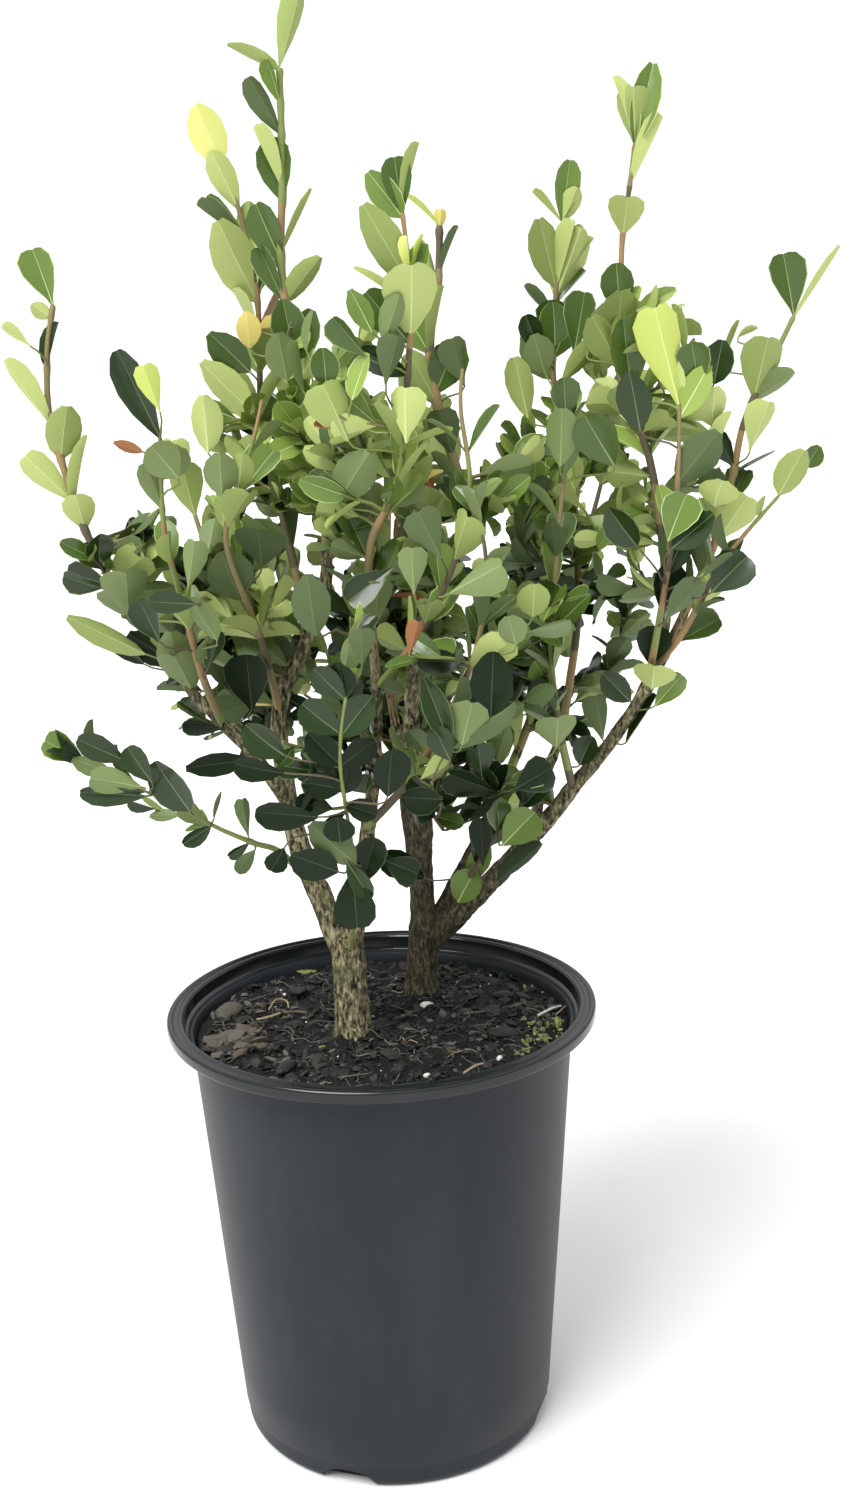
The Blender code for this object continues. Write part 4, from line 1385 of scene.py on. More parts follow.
SKY_GAPS = tuple(SkyGap(*row) for row in (
    (370, 486, 14), (391, 528, 10), (453, 528, 5), (426, 496, 9), (475, 456, 13), (327, 634, 7),
    (363, 746, 6), (300, 757, 6), (330, 797, 9), (400, 826, 9), (195, 530, 12), (200, 475, 11),
    (252, 560, 5), (160, 586, 7), (208, 680, 15), (523, 738, 14), (597, 492, 18), (608, 560, 10),
    (568, 566, 10), (658, 452, 13), (687, 455, 8), (584, 658, 11), (611, 626, 6), (558, 668, 11),
    (583, 706, 11), (619, 700, 6), (650, 546, 8), (477, 556, 9), (195, 518, 12), (112, 510, 19),
    (102, 440, 16), (182, 392, 16), (330, 232, 26), (322, 310, 14), (490, 255, 32), (502, 332, 18),
    (604, 275, 14), (708, 318, 14), (252, 905, 26), (215, 880, 24), (165, 850, 24), (540, 850, 24),
    (560, 800, 16), (225, 790, 12), (232, 752, 8), (810, 400, 26), (820, 440, 26), (85, 830, 28),
    (130, 835, 24), (60, 790, 14), (322, 275, 24), (322, 325, 22), (690, 275, 20), (708, 270, 18),
    (580, 830, 24), (104, 408, 20), (548, 888, 20), (510, 905, 12), (450, 845, 12), (150, 740, 20),
    (120, 710, 16),
))


@dataclass
class Wood:
    """Trunks and thick limbs, grown into one skin with the bark's relief, which is finer in the crown."""

    mould: StemMould
    sides: int = 20
    step: float = 2.0
    voxel: float = 0.75
    thinnest: float = 3.3
    flare: float = 2.6
    flare_height: float = 11.0
    joint_gap: float = 15.0
    joint_swell: float = 0.10
    relief: float = 0.40
    upper_relief: float = 0.65
    upper_height: float = 230.0
    smoothings: int = 3
    finish: Bark = Bark()

    def radii(self, limb: Limb, path: Sequence[Vector]) -> list[float]:
        """The radius along a limb, with its root flare and a swelling at each old leaf joint."""
        foot = path[0].z
        radii = []
        for share, point in zip(shares_along(path), path):
            root = max(0.0, 1.0 - (point.z - foot) / (self.flare_height * MM))
            extra = self.flare * root * root if limb in TRUNKS else 0.0
            phase = share * path_length(path) * 2 * pi / (self.joint_gap * MM)
            joint = self.joint_swell * max(0.0, cos(phase)) ** 8
            radii.append(limb.radius(share) * (1.0 + joint) + extra * MM)
        return radii

    def thick_part(self, limb: Limb) -> tuple[list[Vector], list[float]]:
        """The part of a limb that is thick enough for the joined skin."""
        path = limb.path(self.step)
        radii = self.radii(limb, path)
        keep = [index for index, radius in enumerate(radii) if 2 * radius >= self.thinnest * MM]
        last = max(keep[-1], 2) if keep else 2
        return path[: last + 1], radii[: last + 1]

    def bark_height(self, point: Vector) -> float:
        """The bark's relief at a place: long plates with fissures between, and fine grain."""
        stretched = Vector((point.x, point.y, point.z * 0.28)) / MM
        plates = 1.0 - 2.0 * abs(noise.noise(stretched / 1.5))
        lumps = noise.noise(Vector(point) / (7 * MM))
        return 0.6 * plates + 0.8 * lumps

    def build(self) -> None:
        """Join the limbs, smooth the forks, raise the bark and hand the piece to the frame."""
        joined = JoinedMesh()
        bark = self.finish.material()
        for limb in TRUNKS + LIMBS:
            path, radii = self.thick_part(limb)
            self.mould.bend(joined, path, radii, self.sides, [bark] * len(path))
        wood = joined.to_object("trunks_and_boughs")
        remesh = wood.modifiers.new("grow_together", "REMESH")
        remesh.mode = "VOXEL"
        remesh.voxel_size = self.voxel * MM
        mesh = apply_modifiers(wood)
        shape = bmesh.new()
        shape.from_mesh(mesh)
        for _ in range(self.smoothings):
            bmesh.ops.smooth_vert(
                shape, verts=shape.verts, factor=0.5, use_axis_x=True, use_axis_y=True, use_axis_z=True
            )
        shape.normal_update()
        for vert in shape.verts:
            share = 1.0 if vert.co.z < self.upper_height * MM else self.upper_relief
            vert.co += vert.normal * self.bark_height(vert.co) * self.relief * share * MM
        shape.to_mesh(mesh)
        shape.free()
        mesh.materials.clear()
        mesh.materials.append(bark)
        mesh.shade_smooth()
        nodes = [name for name in frame["nodes"] if name.startswith(("trunk", "bough"))]
        settle(wood, "bark", nodes)


# ---- Leaves ----


@dataclass(frozen=True)
class LeafForm:
    """The form of a leaf of unit length: obovate with a short stalk and a notched tip.

    Attributes:
        width: its greatest width.
        notch: how deep its tip is notched.
        cup: how far its margins rise above its midrib.
        curl: how far its tip rises, or falls if negative.
        sway: how far it bends sideways.
        shoulder: the share of its length at which it is widest.
        fall: how its width falls to the tip: 0.5 rounds it, and more sharpens it.
        twist: its tip's turn about its length, in degrees.
        rim_highlight: whether it has a painted highlight, a pale strip in the midrib's colour along its
            margins, instead of arched halves.
        thickness: how thick its middle is.
        rib: half the width of its midrib at the foot.
        rows: how many rows of faces it has.
    """

    width: float
    notch: float
    cup: float
    curl: float
    sway: float
    shoulder: float = 0.62
    fall: float = 0.5
    twist: float = 0.0
    rim_highlight: bool = False
    thickness: float = 0.016
    rib: float = 0.010
    rows: int = 6

    def half_width(self, share: float) -> float:
        """Half its width at a share of its length: widest past the middle, rounded at the tip."""
        rise = self.fall * self.shoulder / (1.0 - self.shoulder)
        fullness = share**rise * (1.0 - share) ** self.fall
        widest = self.shoulder**rise * (1.0 - self.shoulder) ** self.fall
        return max(0.020, self.width / 2 * fullness / widest)

    def place(self, column: float, share: float, depth: float) -> Vector:
        """Where a point of the blade lies.

        Args:
            column: from -1 at the left margin to 1 at the right margin.
            share: how far along the leaf its row lies.
            depth: how far under the upper face the point is.

        Returns:
            The point, with the leaf's length along +Y and its upper face towards +Z.
        """
        wide = max(self.half_width(share), 0.13 * self.width if share > 0.99 else 0.0)
        across_mid = abs(column) < 0.5
        rib = min(0.6 * wide, self.rib * (1.0 - 0.7 * share))
        x = (rib if column > 0 else -rib) if across_mid else column * wide
        reach = abs(x) / (self.width / 2)
        rise = self.cup * reach**0.8 * self.width - depth
        turn = radians(self.twist) * share
        x, z = x * cos(turn) - rise * sin(turn), x * sin(turn) + rise * cos(turn)
        notched = self.notch * share**9 * (1.0 - min(1.0, reach))
        bend = share * share
        reach = share * (1.0 - 0.2 * abs(self.curl)) - notched
        return Vector((x + self.sway * bend, reach, z + self.curl * bend))

    def sheet(self, columns: Sequence[float], depth: float, parts: Sequence[int]) -> bmesh.types.BMesh:
        """One face of the blade, shaped from a flat grid with a column for each strip."""
        shape = bmesh.new()
        strips = len(columns) - 1
        bmesh.ops.create_grid(shape, x_segments=strips, y_segments=self.rows, size=1.0)
        for face in shape.faces:
            middle = face.calc_center_median().x
            face.material_index = parts[min(strips - 1, int((middle + 1.0) / 2.0 * strips))]
        for vert in shape.verts:
            column = columns[round((vert.co.x + 1.0) / 2.0 * strips)]
            row = (vert.co.y + 1.0) / 2.0
            share = 0.5 - 0.5 * cos(pi * (0.12 + 0.88 * row))
            share = (share - 0.0351) / (1.0 - 0.0351)
            inner = depth * (1.0 - abs(column)) ** 0.3 if abs(column) < 1.0 else 0.0
            vert.co = self.place(column, max(0.0, min(1.0, share)), inner)
        return shape

    def template(self) -> Template:
        """The closed blade: its upper face, with arched halves or a painted highlight along its margins, and
        its under face.
        """
        # Painted highlight: on rimmed forms the outer strips of the upper face take the midrib's pale skin.
        edge, part = (0.94, 2) if self.rim_highlight else (0.55, 0)
        upper = self.sheet((-1.0, -edge, -0.1, 0.1, edge, 1.0), 0.0, (part, 0, 2, 0, part))
        under = self.sheet((-1.0, -0.1, 0.1, 1.0), self.thickness, (1, 2, 1))
        bmesh.ops.reverse_faces(under, faces=under.faces)
        mesh = bpy.data.meshes.new("under_face")
        under.to_mesh(mesh)
        under.free()
        upper.from_mesh(mesh)
        bpy.data.meshes.remove(mesh)
        bmesh.ops.remove_doubles(upper, verts=upper.verts, dist=1e-5)
        return Template.from_bmesh(upper)


# How many of the leaf forms, the first ones, are nearly straight and flat.
STRAIGHT_FORMS = 8


@dataclass
class LeafPress:
    """A set of leaf forms, placed one leaf at a time."""

    forms: list[tuple[Template, float]]
    skins: dict[Tone, list[Material]]

    @classmethod
    def stocked(cls, seed: int) -> "LeafPress":
        """Make the forms and the skins."""
        rng = Random(seed)
        forms = []
        spatulate = ((0.56, 0.72), (0.0, 0.07), (0.62, 0.72), (0.45, 0.55))
        pointed = ((0.40, 0.54), (0.0, 0.02), (0.50, 0.62), (0.52, 0.70))
        for number in range(24):
            width, notch, shoulder, fall = spatulate if number % 2 == 0 else pointed
            bent = 0.4 if number < STRAIGHT_FORMS else 1.0
            form = LeafForm(
                width=rng.uniform(*width),
                notch=rng.uniform(*notch),
                cup=rng.uniform(0.12, 0.36),
                curl=rng.uniform(-0.28, 0.15) * bent,
                sway=rng.uniform(-0.09, 0.09) * bent,
                shoulder=rng.uniform(*shoulder),
                fall=rng.uniform(*fall),
                twist=rng.uniform(-24, 24) * bent,
                rim_highlight=number % 4 < 2,
            )
            forms.append((form.template(), form.width))
        return cls(forms, {tone: Cuticle(tone).materials() for tone in Tone})

    def press(
        self,
        joined: JoinedMesh,
        base: Vector,
        along: Vector,
        upper: Vector,
        length: float,
        tone: Tone,
        rng: Random,
        width: Optional[float] = None,
    ) -> None:
        """Add one leaf.

        Args:
            joined: the mesh that takes it.
            base: where its stalk meets the stem, in metres.
            along: the direction of its length.
            upper: the direction that its upper face looks.
            length: its length in metres.
            tone: its tone.
            rng: the source of chance.
            width: its width in metres, or None for its form's own.
        """
        y = along.normalized()
        x = y.cross(upper).normalized()
        z = x.cross(y)
        turn = np.array([x[:], y[:], z[:]])
        template, own_width = rng.choice(self.forms[:STRAIGHT_FORMS] if width else self.forms)
        scale = np.array([width / own_width if width else length, length, length])
        points = (template.points * scale) @ turn + np.array(base[:])
        joined.add(template, points, self.skins[tone])


# ---- Crown ----


@dataclass
class Envelope:
    """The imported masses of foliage, which say where twigs may grow and which mass each belongs to."""

    trees: dict[str, BVHTree]

    @classmethod
    def from_frame(cls) -> "Envelope":
        """Read every mass from the frame."""
        trees = {}
        for name, node in frame["nodes"].items():
            if name.startswith("foliage"):
                verts = [vert.co.copy() for vert in node.data.vertices]
                faces = [tuple(face.vertices) for face in node.data.polygons]
                trees[name] = BVHTree.FromPolygons(verts, faces)
        return cls(trees)

    def outside(self, name: str, point: Vector) -> float:
        """How far a point lies outside one mass, negative within, in metres."""
        near, normal, _, distance = self.trees[name].find_nearest(point)
        return distance if (point - near).dot(normal) > 0 else -distance

    def owner(self, point: Vector) -> tuple[str, float]:
        """The mass that a point belongs to, and how far outside it the point is, negative within."""
        signed = {name: self.outside(name, point) for name in self.trees}
        best = min(signed, key=lambda name: signed[name])
        return best, signed[best]


@dataclass
class Network:
    """All the wood grown so far, from which the next twig may start."""

    points: list[Vector] = field(default_factory=list)
    heads: list[Vector] = field(default_factory=list)
    radii: list[float] = field(default_factory=list)

    def add(self, path: Sequence[Vector], radii: Sequence[float], first: float) -> None:
        """Add the part of a limb or twig past a share of its length."""
        shares = shares_along(path)
        for index in range(1, len(path)):
            if shares[index] >= first:
                self.points.append(path[index])
                self.heads.append((path[index] - path[index - 1]).normalized())
                self.radii.append(radii[index])

    def nearest(self, target: Vector) -> tuple[Vector, Vector, float]:
        """The best place to start a twig that shall reach a target: near it, below it and on strong wood."""
        places = np.array([point[:] for point in self.points])
        offset = np.array(target[:]) - places
        cost = np.linalg.norm(offset, axis=1)
        cost += 0.9 * np.maximum(0.0, 6 * MM - offset[:, 2])
        cost += np.where(np.array(self.radii) < 0.9 * MM, 9 * MM, 0.0)
        cost += np.where(cost < 9 * MM, 12 * MM, 0.0)
        best = int(np.argmin(cost))
        return self.points[best], self.heads[best], self.radii[best]


@dataclass
class Twig:
    """One leafy spray.

    Attributes:
        path: its middle line, in metres.
        foot: its radius at its foot.
        tip: its radius at its tip.
        tone: its tone, or None to take each pair's tone from its place.
        leaf: the usual length of its leaves, or 0 for a small twig with one listed leaf.
        leafy: the length of its leafy end.
        spacing: the distance between its pairs of leaves.
        lean: the angle in degrees between it and its leaves.
        roll: the turn of its first pair about it.
        leader: whether it is the end of a limb.
        fresh: whether its stem is still green.
        by_hand: the leaves set one by one at its tip.
    """

    path: list[Vector]
    foot: float
    tip: float
    tone: Optional[Tone]
    leaf: float = 0.0
    leafy: float = 0.0
    spacing: float = 1.0
    lean: float = 0.0
    roll: float = 0.0
    leader: bool = False
    fresh: bool = False
    by_hand: tuple[Leaf, ...] = ()

    def hand_set(self) -> float:
        """The length of its tip whose leaves are listed one by one, in metres."""
        return max((leaf.back for leaf in self.by_hand), default=-8.0) * MM + 8 * MM


@dataclass
class SightLines:
    """Straight lines that sprays keep clear of, so that the sky, a bough or a leaf shows behind them."""

    starts: list[tuple[float, float, float]] = field(default_factory=list)
    heads: list[tuple[float, float, float]] = field(default_factory=list)
    sizes: list[tuple[float, float]] = field(default_factory=list)

    def add(self, start: Vector, head: Vector, reach: float, radius: float) -> None:
        """Keep a line clear, from its start in a direction, over its reach and radius in metres."""
        self.starts.append(start[:])
        self.heads.append(head[:])
        self.sizes.append((reach, radius))

    def crossed(self, point: Vector, room: float = 0.0) -> bool:
        """Whether a point lies on one of the lines, or within some room of it."""
        heads, sizes = np.array(self.heads), np.array(self.sizes)
        offset = np.array(point[:]) - np.array(self.starts)
        reach = (offset * heads).sum(axis=1)
        aside = np.linalg.norm(offset - heads * reach[:, None], axis=1)
        return bool(np.any((reach > 0) & (reach < sizes[:, 0]) & (aside < sizes[:, 1] + room)))


# The skins of twigs: their names, colours and roughness.
STEM_SKINS = (
    ("twig_brown", "#5f5540", 0.75),
    ("twig_tan", "#85774f", 0.7),
    ("twig_green", "#7a8748", 0.6),
    ("twig_copper", "#977c54", 0.65),
)

# How much farther apart than usual the sprays of some masses stand.
THIN_MASSES = {
    "foliage_low_right": 1.9,
    "foliage_under_right": 1.7,
    "foliage_right": 1.25,
    "foliage_low_left": 1.8,
}


@dataclass
class Crown:
    """Twigs and leaves that grow on from the limbs by a seeded branching rule. Lengths are in mm."""

    mould: StemMould
    view: ViewCamera
    seed: int = 5
    axis: tuple[float, float] = (8.0, 8.0)
    # Sprays: how far apart they stand, how far inside their mass, and the places tried.
    target_gap: float = 11.5
    margin: float = 4.0
    tries: int = 2500
    twig_tip: float = 0.5
    leaf_gap: float = 7.8
    # Shown leaves: how deep in the crown, their twigs' tips, and how far they stay in sight.
    shown_depth: float = 8.0
    shown_tip: float = 0.3
    shown_clear: float = 100.0
    # Leading shoots: the radius where they start, their leafy ends, pairs of leaves and joints.
    thin: float = 1.8
    leader_leafy: float = 150.0
    leader_gap: float = 13.0
    leader_lean: float = 32.0
    joint_gap: float = 15.0
    # How far sprays stay from a leading shoot's end, and from a limb's leafy and bare parts.
    leader_end: float = 70.0
    room_leader: float = 24.0
    room_leafy: float = 11.0
    room_bare: float = 17.0
    # How near a sight line leaves and twigs come, and a pixel's width at the crown.
    brush: float = 1.5
    view_pixel: float = 0.36
    envelope: Envelope = field(default_factory=Envelope.from_frame)
    network: Network = field(default_factory=Network)
    stems: Network = field(default_factory=Network)
    twigs: list[Twig] = field(default_factory=list)
    taken: list[tuple[Vector, float]] = field(default_factory=list)
    sight: SightLines = field(default_factory=SightLines)
    press: Optional[LeafPress] = None

    def clear_views(self) -> None:
        """Keep the sky gaps open and the bared stretches of the limbs in sight."""
        for gap in SKY_GAPS:
            start, head = self.view.sight(gap.across, gap.down)
            self.sight.add(start, head, 2.0, gap.radius * self.view_pixel * MM)
        eye, _ = self.view.sight(0.0, 0.0)
        for limb in LIMBS:
            path = limb.path(4.0)
            for share, point in zip(shares_along(path), path):
                if any(low <= share < high for low, high in limb.bared):
                    self.sight.add(point, (eye - point).normalized(), 0.12, limb.radius(share) + 3 * MM)

    def front_place(self, across: float, down: float) -> Vector:
        """Where a point of the view lies at the front of the crown, or by the nearest wood past its edge."""
        start, head = self.view.sight(across, down)
        offset = np.array([point[:] for point in self.network.points]) - np.array(start[:])
        reach = offset @ np.array(head[:])
        aside = np.linalg.norm(offset - reach[:, None] * np.array(head[:]), axis=1)
        reaches = [tree.ray_cast(start, head)[3] for tree in self.envelope.trees.values()]
        met = [distance for distance in reaches if distance is not None]
        place = min(met) + self.shown_depth * MM if met else float(reach[np.argmin(aside)])
        radii = np.array(self.network.radii)
        hiding = reach[(radii > 1.1 * MM) & (aside < radii + 3 * MM) & (reach < place)]
        if len(hiding):
            place = float(hiding.min()) - 4 * MM
        return start + head * place

    def show(self, shown: ShownLeaf) -> None:
        """Grow a small twig with one leaf at the front of the crown, and keep the leaf in sight."""
        place = self.front_place(shown.across, shown.down)
        found = (wood.nearest(place) for wood in (self.network, self.stems))
        start, heading, parent = min(found, key=lambda wood: (wood[0] - place).length)
        leaf = shown.leaf()
        along = leaf.direction()
        span = (place - start).length
        leave = (heading * 0.5 + (place - start).normalized()).normalized()
        pieces = max(4, round(span / (3 * MM)))
        bend = place - along * span * 0.3
        path = interpolate_bezier(start, start + leave * span * 0.35, bend, place, pieces)
        foot = min(parent * 0.8, (0.36 + span / MM * 0.005) * MM)
        self.twigs.append(Twig(path, foot, self.shown_tip * MM, leaf.tone, by_hand=(leaf,)))
        eye, _ = self.view.sight(0.0, 0.0)
        for share in (0.3, 0.75):
            point = place + along * leaf.length * share * MM
            head = (eye - point).normalized()
            self.sight.add(point + head * 3 * MM, head, self.shown_clear * MM, 0.5 * leaf.width * MM)

    def tone_at(self, point: Vector, depth: float, rng: Random) -> Tone:
        """Draw a spray's tone: darker low and deep inside the crown, fresher green high up; partly real leaf
        age, partly painted light and shade.
        """
        # Painted shade: sprays more than 12 mm inside their mass are drawn darker. The rise with height is
        # partly young growth high up and older leaves low down, partly painted light and shade.
        height = (point.z - 0.235) / 0.165 - 4.0 * max(0.0, depth - 12 * MM) + rng.gauss(0, 0.16)
        if rng.random() < 0.12:
            height += 0.4
        steps = ((0.12, SHADE), (0.40, DARK), (0.66, MID), (0.95, BRIGHT))
        for limit, tone in steps:
            if height < limit:
                return tone
        return YOUNG

    def lead(self, limb: Limb, rng: Random) -> None:
        """Add the leafy end of a limb, and offer the rest of it to side twigs."""
        path = limb.path(2.0)
        length = path_length(path)
        log.debug("%s is %.0f mm long", limb.name, length / MM)
        shares = shares_along(path)
        radii = [limb.radius(share) for share in shares]
        leafy = min(self.leader_leafy * MM, length * (1.0 - limb.bare))
        thin = next((index for index, radius in enumerate(radii) if radius < self.thin * MM), len(path) - 2)
        leafy_start = next(index for index, share in enumerate(shares) if share >= 1.0 - leafy / length)
        start = max(0, min(thin, leafy_start) - 1)
        self.twigs.append(
            Twig(
                path[start:],
                radii[start],
                tip=limb.tip * MM / 2,
                tone=None if limb.leaves else limb.tone,
                leaf=limb.leaf * MM,
                leafy=leafy,
                spacing=self.leader_gap * MM,
                lean=self.leader_lean,
                roll=rng.uniform(0, pi),
                leader=True,
                fresh=limb.tone is DARK,
                by_hand=limb.leaves,
            )
        )
        self.network.add(path, radii, limb.bare)
        self.stems.add(path, radii, 0.0)
        for share, point in zip(shares[::2], path[::2]):
            room = self.room_leafy if share > limb.bare else self.room_bare
            if share > 1.0 - self.leader_end * MM / length:
                room = self.room_leader
            self.taken.append((point, room * MM))

    def targets(self, name: str, rng: Random) -> list[Vector]:
        """Places inside a mass, well apart from each other and from the leading shoots."""
        low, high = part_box(name)
        gap = self.target_gap * THIN_MASSES.get(name, 1.0) * MM
        found = []
        for _ in range(self.tries):
            place = Vector([rng.uniform(start, end) for start, end in zip(low, high)])
            if self.envelope.outside(name, place) > -self.margin * MM or self.sight.crossed(place):
                continue
            if all((place - other).length > room for other, room in self.taken):
                found.append(place)
                self.taken.append((place, gap))
        return sorted(found, key=lambda place: place.z)

    def grow(self, target: Vector, rng: Random) -> None:
        """Grow a twig from the nearest wood to a target, outwards and up, unless it would cross a gap."""
        start, heading, parent = self.network.nearest(target)
        outwards = Vector((target.x - self.axis[0] * MM, target.y - self.axis[1] * MM, 0.0)) / (90 * MM)
        wander = Vector((rng.gauss(0, 0.3), rng.gauss(0, 0.3), rng.gauss(0, 0.15)))
        arrive = (UP * 0.8 + outwards * 0.9 + wander).normalized()
        span = max((target - start).length, 12 * MM)
        leave = (heading * 0.5 + (target - start).normalized()).normalized()
        pieces = max(4, round(span / (4 * MM)))
        bend = target - arrive * span * 0.35
        path = interpolate_bezier(start, start + leave * span * 0.35, bend, target, pieces)
        if any(self.sight.crossed(point, -self.brush * MM) for point in path[2:]):
            return
        foot = min(parent * 0.85, (0.62 + span / MM * 0.008) * MM)
        depth = -self.envelope.owner(target)[1]
        twig = Twig(
            path,
            foot,
            tip=self.twig_tip * MM,
            leaf=rng.uniform(13.5, 21.5) * MM,
            tone=self.tone_at(target, depth, rng),
            leafy=rng.uniform(26, 42) * MM,
            spacing=self.leaf_gap * MM,
            lean=rng.uniform(30, 50),
            roll=rng.uniform(0, pi),
        )
        self.twigs.append(twig)
        shares = shares_along(path)
        self.network.add(path, [foot + (twig.tip - foot) * share for share in shares], 0.3)

    def leaf_pair(
        self,
        twig: Twig,
        where: tuple[Vector, Vector, float],
        turn: float,
        lean: float,
        size: float,
        joined: JoinedMesh,
        rng: Random,
    ) -> None:
        """Set two opposite leaves.

        Args:
            twig: the twig that bears them.
            where: the place on it, its direction there, and its radius.
            turn: the pair's turn about the twig, in radians.
            lean: the angle between leaf and twig, in radians.
            size: a factor on the leaves' length.
            joined: the mesh that takes them.
            rng: the source of chance.
        """
        point, ahead, stem = where
        for half in (0.0, pi):
            angle = lean + rng.gauss(0, 0.16)
            aside = across(ahead, turn + half + rng.gauss(0, 0.14))
            along = ahead * cos(angle) + aside * sin(angle)
            upper = ahead * sin(angle) - aside * cos(angle)
            upper = Matrix.Rotation(rng.gauss(0, 0.35), 3, along) @ upper
            length = twig.leaf * size * rng.uniform(0.82, 1.14)
            tone = self.leaf_tone(twig, point, rng)
            blade = (point + along * length * share for share in (0.5, 0.95))
            if any(self.sight.crossed(place, self.brush * MM) for place in blade):
                continue
            self.press.press(joined, point + aside * stem * 0.6, along, upper, length, tone, rng)

    def leaves_on(self, twig: Twig, joined: JoinedMesh, rng: Random) -> None:
        """Set pairs of leaves along a twig's leafy end, each pair square to the last, and close its tip."""
        length = path_length(twig.path)
        by_hand = twig.hand_set()
        share = max(0.12, 1.0 - twig.leafy / length)
        turn = twig.roll
        while share < 0.97 - by_hand / length:
            point, ahead = point_at(twig.path, share)
            stem = twig.foot + (twig.tip - twig.foot) * share
            young = max(0.0, 1.0 - (1.0 - share) * length / (25 * MM))
            lean = radians(twig.lean * (1.0 - 0.3 * young))
            self.leaf_pair(twig, (point, ahead, stem), turn, lean, 1.0 - 0.2 * young, joined, rng)
            turn += pi / 2 + rng.gauss(0, 0.15)
            share += twig.spacing * rng.uniform(0.85, 1.2) * (1.0 - 0.25 * young) / length
        if twig.by_hand:
            self.leaves_by_hand(twig, joined, rng)
        else:
            ahead = (twig.path[-1] - twig.path[-2]).normalized()
            self.leaf_pair(twig, (twig.path[-1], ahead, twig.tip), turn, radians(20), 0.72, joined, rng)

    def leaves_by_hand(self, twig: Twig, joined: JoinedMesh, rng: Random) -> None:
        """Set the leaves that a twig lists one by one."""
        length = path_length(twig.path)
        for leaf in twig.by_hand:
            share = min(1.0, 1.0 - leaf.back * MM / length)
            point, _ = point_at(twig.path, share)
            along = leaf.direction()
            away = Vector((0.0, 1.0, 0.0))
            upper = (away - along * away.dot(along)).normalized()
            roll = leaf.face + rng.uniform(-1, 1) * (8 if twig.leader else 20)
            upper = Matrix.Rotation(radians(roll), 3, along) @ upper
            self.press.press(joined, point, along, upper, leaf.length * MM, leaf.tone, rng, leaf.width * MM)

    def stem_radius(self, twig: Twig, share: float) -> float:
        """A twig's radius at a share of its length, with a knot where its listed leaves leave it."""
        radius = twig.foot + (twig.tip - twig.foot) * share
        if not twig.leader:
            return radius
        back = (1.0 - share) * path_length(twig.path) / MM
        knot = max((1.0 - abs(back - leaf.back) / 2.6 for leaf in twig.by_hand), default=0.0)
        return radius * (1.0 + 0.3 * max(0.0, knot)) * (0.7 if share > 0.999 else 1.0)

    def stem_skins(
        self, twig: Twig, shares: Sequence[float], stems: Sequence[Material], rng: Random
    ) -> list[Material]:
        """A stem's skin at each share of its length: one along a twig, a new one at a leader's joints."""
        height = twig.path[-1].z
        if twig.fresh or twig.leaf == 0.0:
            weights = (1, 0, 0, 0) if twig.tone in (SHADE, DARK) else (0, 0, 1, 0)
        elif twig.leader:
            weights = (3, 3, 2, 2)
        else:
            weights = (3, 2, 2, 0) if height < 0.33 else (1, 2, 3, 0)
        drawn = rng.choices(stems, weights, k=20)
        if not twig.leader:
            return [drawn[0]] * len(shares)
        joints = path_length(twig.path) / (self.joint_gap * MM)
        return [drawn[int((1.0 - share) * joints) % len(drawn)] for share in shares]

    def leaf_tone(self, twig: Twig, point: Vector, rng: Random) -> Tone:
        """A leaf's tone: its spray's, with a rare turning leaf."""
        odd = rng.random()
        if odd < 0.001:
            return ORANGE
        if odd < 0.002:
            return STRAW
        tone = twig.tone or self.tone_at(point, 0.0, rng)
        fresher = (SHADE, DARK, MID, BRIGHT, YOUNG)
        if tone in fresher:
            step = rng.choices((-1, 0, 1, 2), (2, 5, 2, 0.5))[0]
            tone = fresher[min(4, max(0, fresher.index(tone) + step))]
        return tone

    def build(self) -> None:
        """Grow every twig, set its leaves, and join the twigs into one piece and the leaves by mass."""
        self.clear_views()
        for number, limb in enumerate(LIMBS):
            self.lead(limb, Random(self.seed * 100 + number))
        for number, name in enumerate(self.envelope.trees):
            rng = Random(self.seed * 1000 + number)
            for target in self.targets(name, rng):
                self.grow(target, rng)
        for shown in SHOWN_LEAVES:
            self.show(shown)
        self.press = LeafPress.stocked(self.seed)
        stems = [PlainOrganic(*skin).material() for skin in STEM_SKINS]
        masses = {name: JoinedMesh() for name in self.envelope.trees}
        wood = JoinedMesh()
        rng = Random(self.seed)
        for twig in self.twigs:
            shares = shares_along(twig.path)
            radii = [self.stem_radius(twig, share) for share in shares]
            self.mould.bend(wood, twig.path, radii, 7, self.stem_skins(twig, shares, stems, rng))
            name, _ = self.envelope.owner(twig.path[len(twig.path) // 2])
            self.leaves_on(twig, masses[name], rng)
        settle(wood.to_object("twigs", 60.0), "bark")
        leaves = 0
        for name, joined in masses.items():
            leaves += len(joined.points)
            if joined.count:
                piece = joined.to_object(name.replace("foliage", "leaves"), 55.0)
                settle(piece, frame_slot(name), [name])
            else:
                log.warning("%s has no leaves", name)
        log.info("%d twigs, %d leaves", len(self.twigs), leaves)


def frame_slot(node: str) -> str:
    """The record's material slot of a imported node."""
    rows = frame["record"]["subparts"]
    return next(row["material_slot"] for row in rows if row["node"] == node)


# ---- Floor, light and camera ----


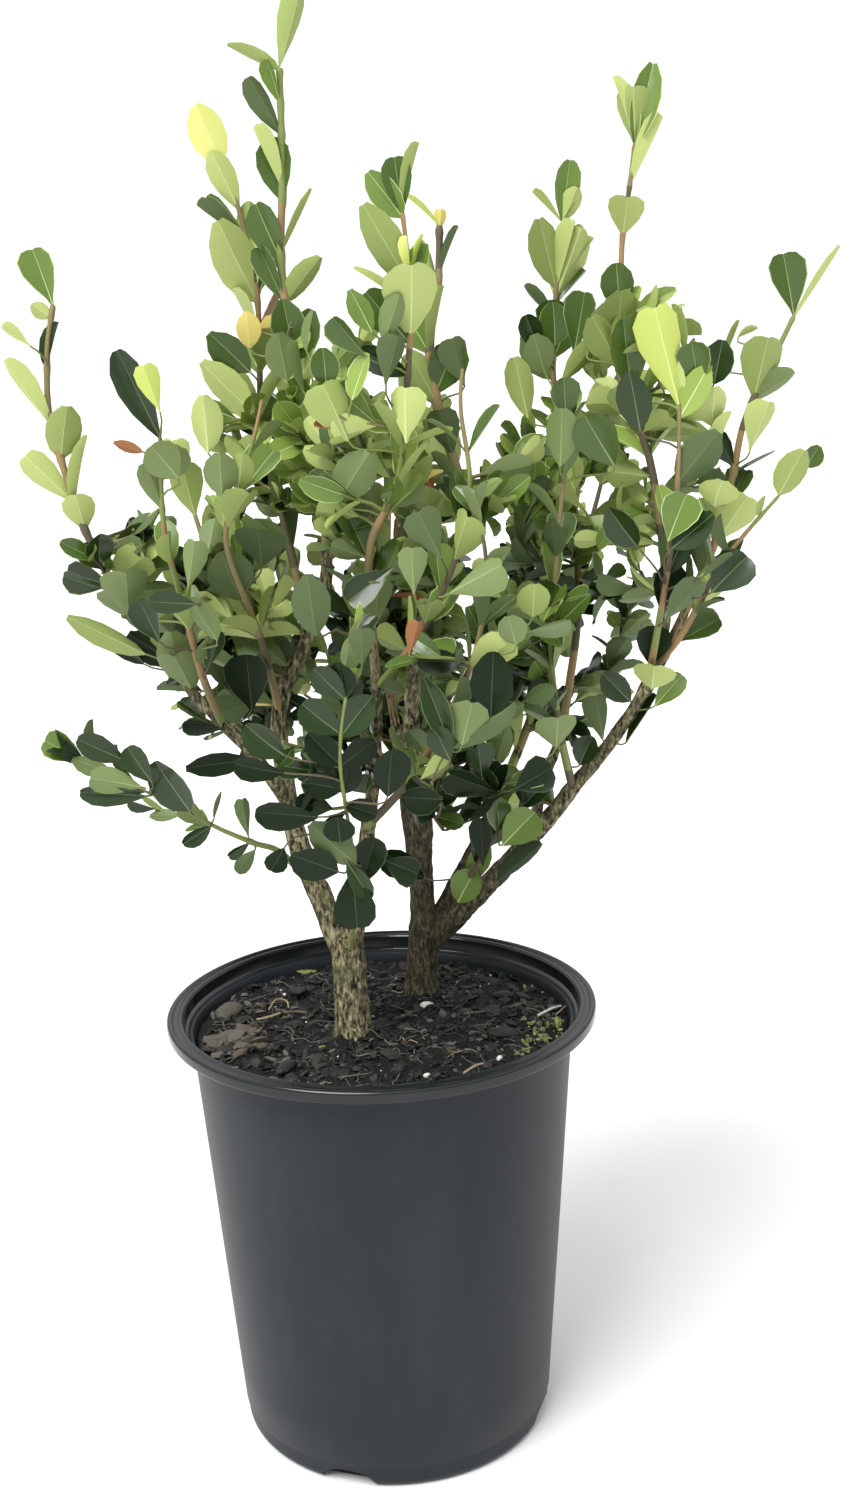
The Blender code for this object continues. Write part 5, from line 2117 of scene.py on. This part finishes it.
@dataclass
class Studio:
    """A plain pale floor and soft light from above, in front of a white backdrop."""

    floor_size: float = 60.0
    floor_colour: str = "#e8e8e8"
    backdrop: str = "#ffffff"
    sky: tuple[tuple[float, str], ...] = (
        (0.0, "#8c8c88"), (0.5, "#6f716f"), (0.72, "#eceeee"), (1.0, "#ffffff"),
    )
    sky_strength: float = 1.15
    sun_strength: float = 3.1
    sun_angle: float = 34.0

    def floor(self) -> None:
        """Lay the floor under the pot."""
        shape = bmesh.new()
        bmesh.ops.create_grid(shape, x_segments=2, y_segments=2, size=self.floor_size / 2)
        settings = {"Base Color": linear(self.floor_colour), "Roughness": 0.9}
        material, _ = new_material("studio_floor", settings)
        floor = shape_to_object("studio_floor", shape, [material])

    def sun(self) -> None:
        """Hang one wide soft light high up on the left."""
        light = bpy.data.lights.new("soft_sun", "SUN")
        light.angle = radians(self.sun_angle)
        light.energy = self.sun_strength
        lamp = bpy.data.objects.new("soft_sun", light)
        lamp.rotation_euler = Vector((0.45, 0.55, -1.0)).to_track_quat("-Z", "Y").to_euler()
        bpy.context.scene.collection.objects.link(lamp)

    def build(self) -> None:
        """Set the sky, brighter overhead and white behind the plant, then the floor and the sun."""
        world = bpy.data.worlds.new("soft_sky")
        world.use_nodes = True
        back = world.node_tree.nodes["Background"]
        back.inputs["Strength"].default_value = self.sky_strength
        towards = add_node(world, "ShaderNodeTexCoord")
        parts = add_node(world, "ShaderNodeSeparateXYZ", {}, {"Vector": towards.outputs["Object"]})
        height = add_node(world, "ShaderNodeMapRange", {"From Min": -1.0}, {"Value": parts.outputs["Z"]})
        ramp = add_node(world, "ShaderNodeValToRGB", {}, {"Fac": height.outputs["Result"]})
        set_stops(ramp, [(position, linear(colour)) for position, colour in self.sky])
        view = add_node(world, "ShaderNodeLightPath")
        mix = add_node(
            world, "ShaderNodeMix", {"data_type": "RGBA", "B": linear(self.backdrop)},
            {"Factor": view.outputs["Is Camera Ray"], "A": ramp.outputs["Color"]},
        )
        wire(back, {"Color": mix.outputs["Result"]})
        bpy.context.scene.world = world
        self.floor()
        self.sun()
        bpy.context.scene.view_settings.view_transform = "Standard"


def main() -> None:
    """Build every sub-assembly in order."""
    logging.basicConfig(level=logging.INFO, format="%(name)s: %(message)s")
    camera = ViewCamera()
    camera.build()
    Studio().build()
    pot = NurseryPot()
    pot.build()
    mould = StemMould()
    PottingMix(pot, mould).build()
    Wood(mould).build()
    Crown(mould, camera).build()


if __name__ == "__main__":
    main()
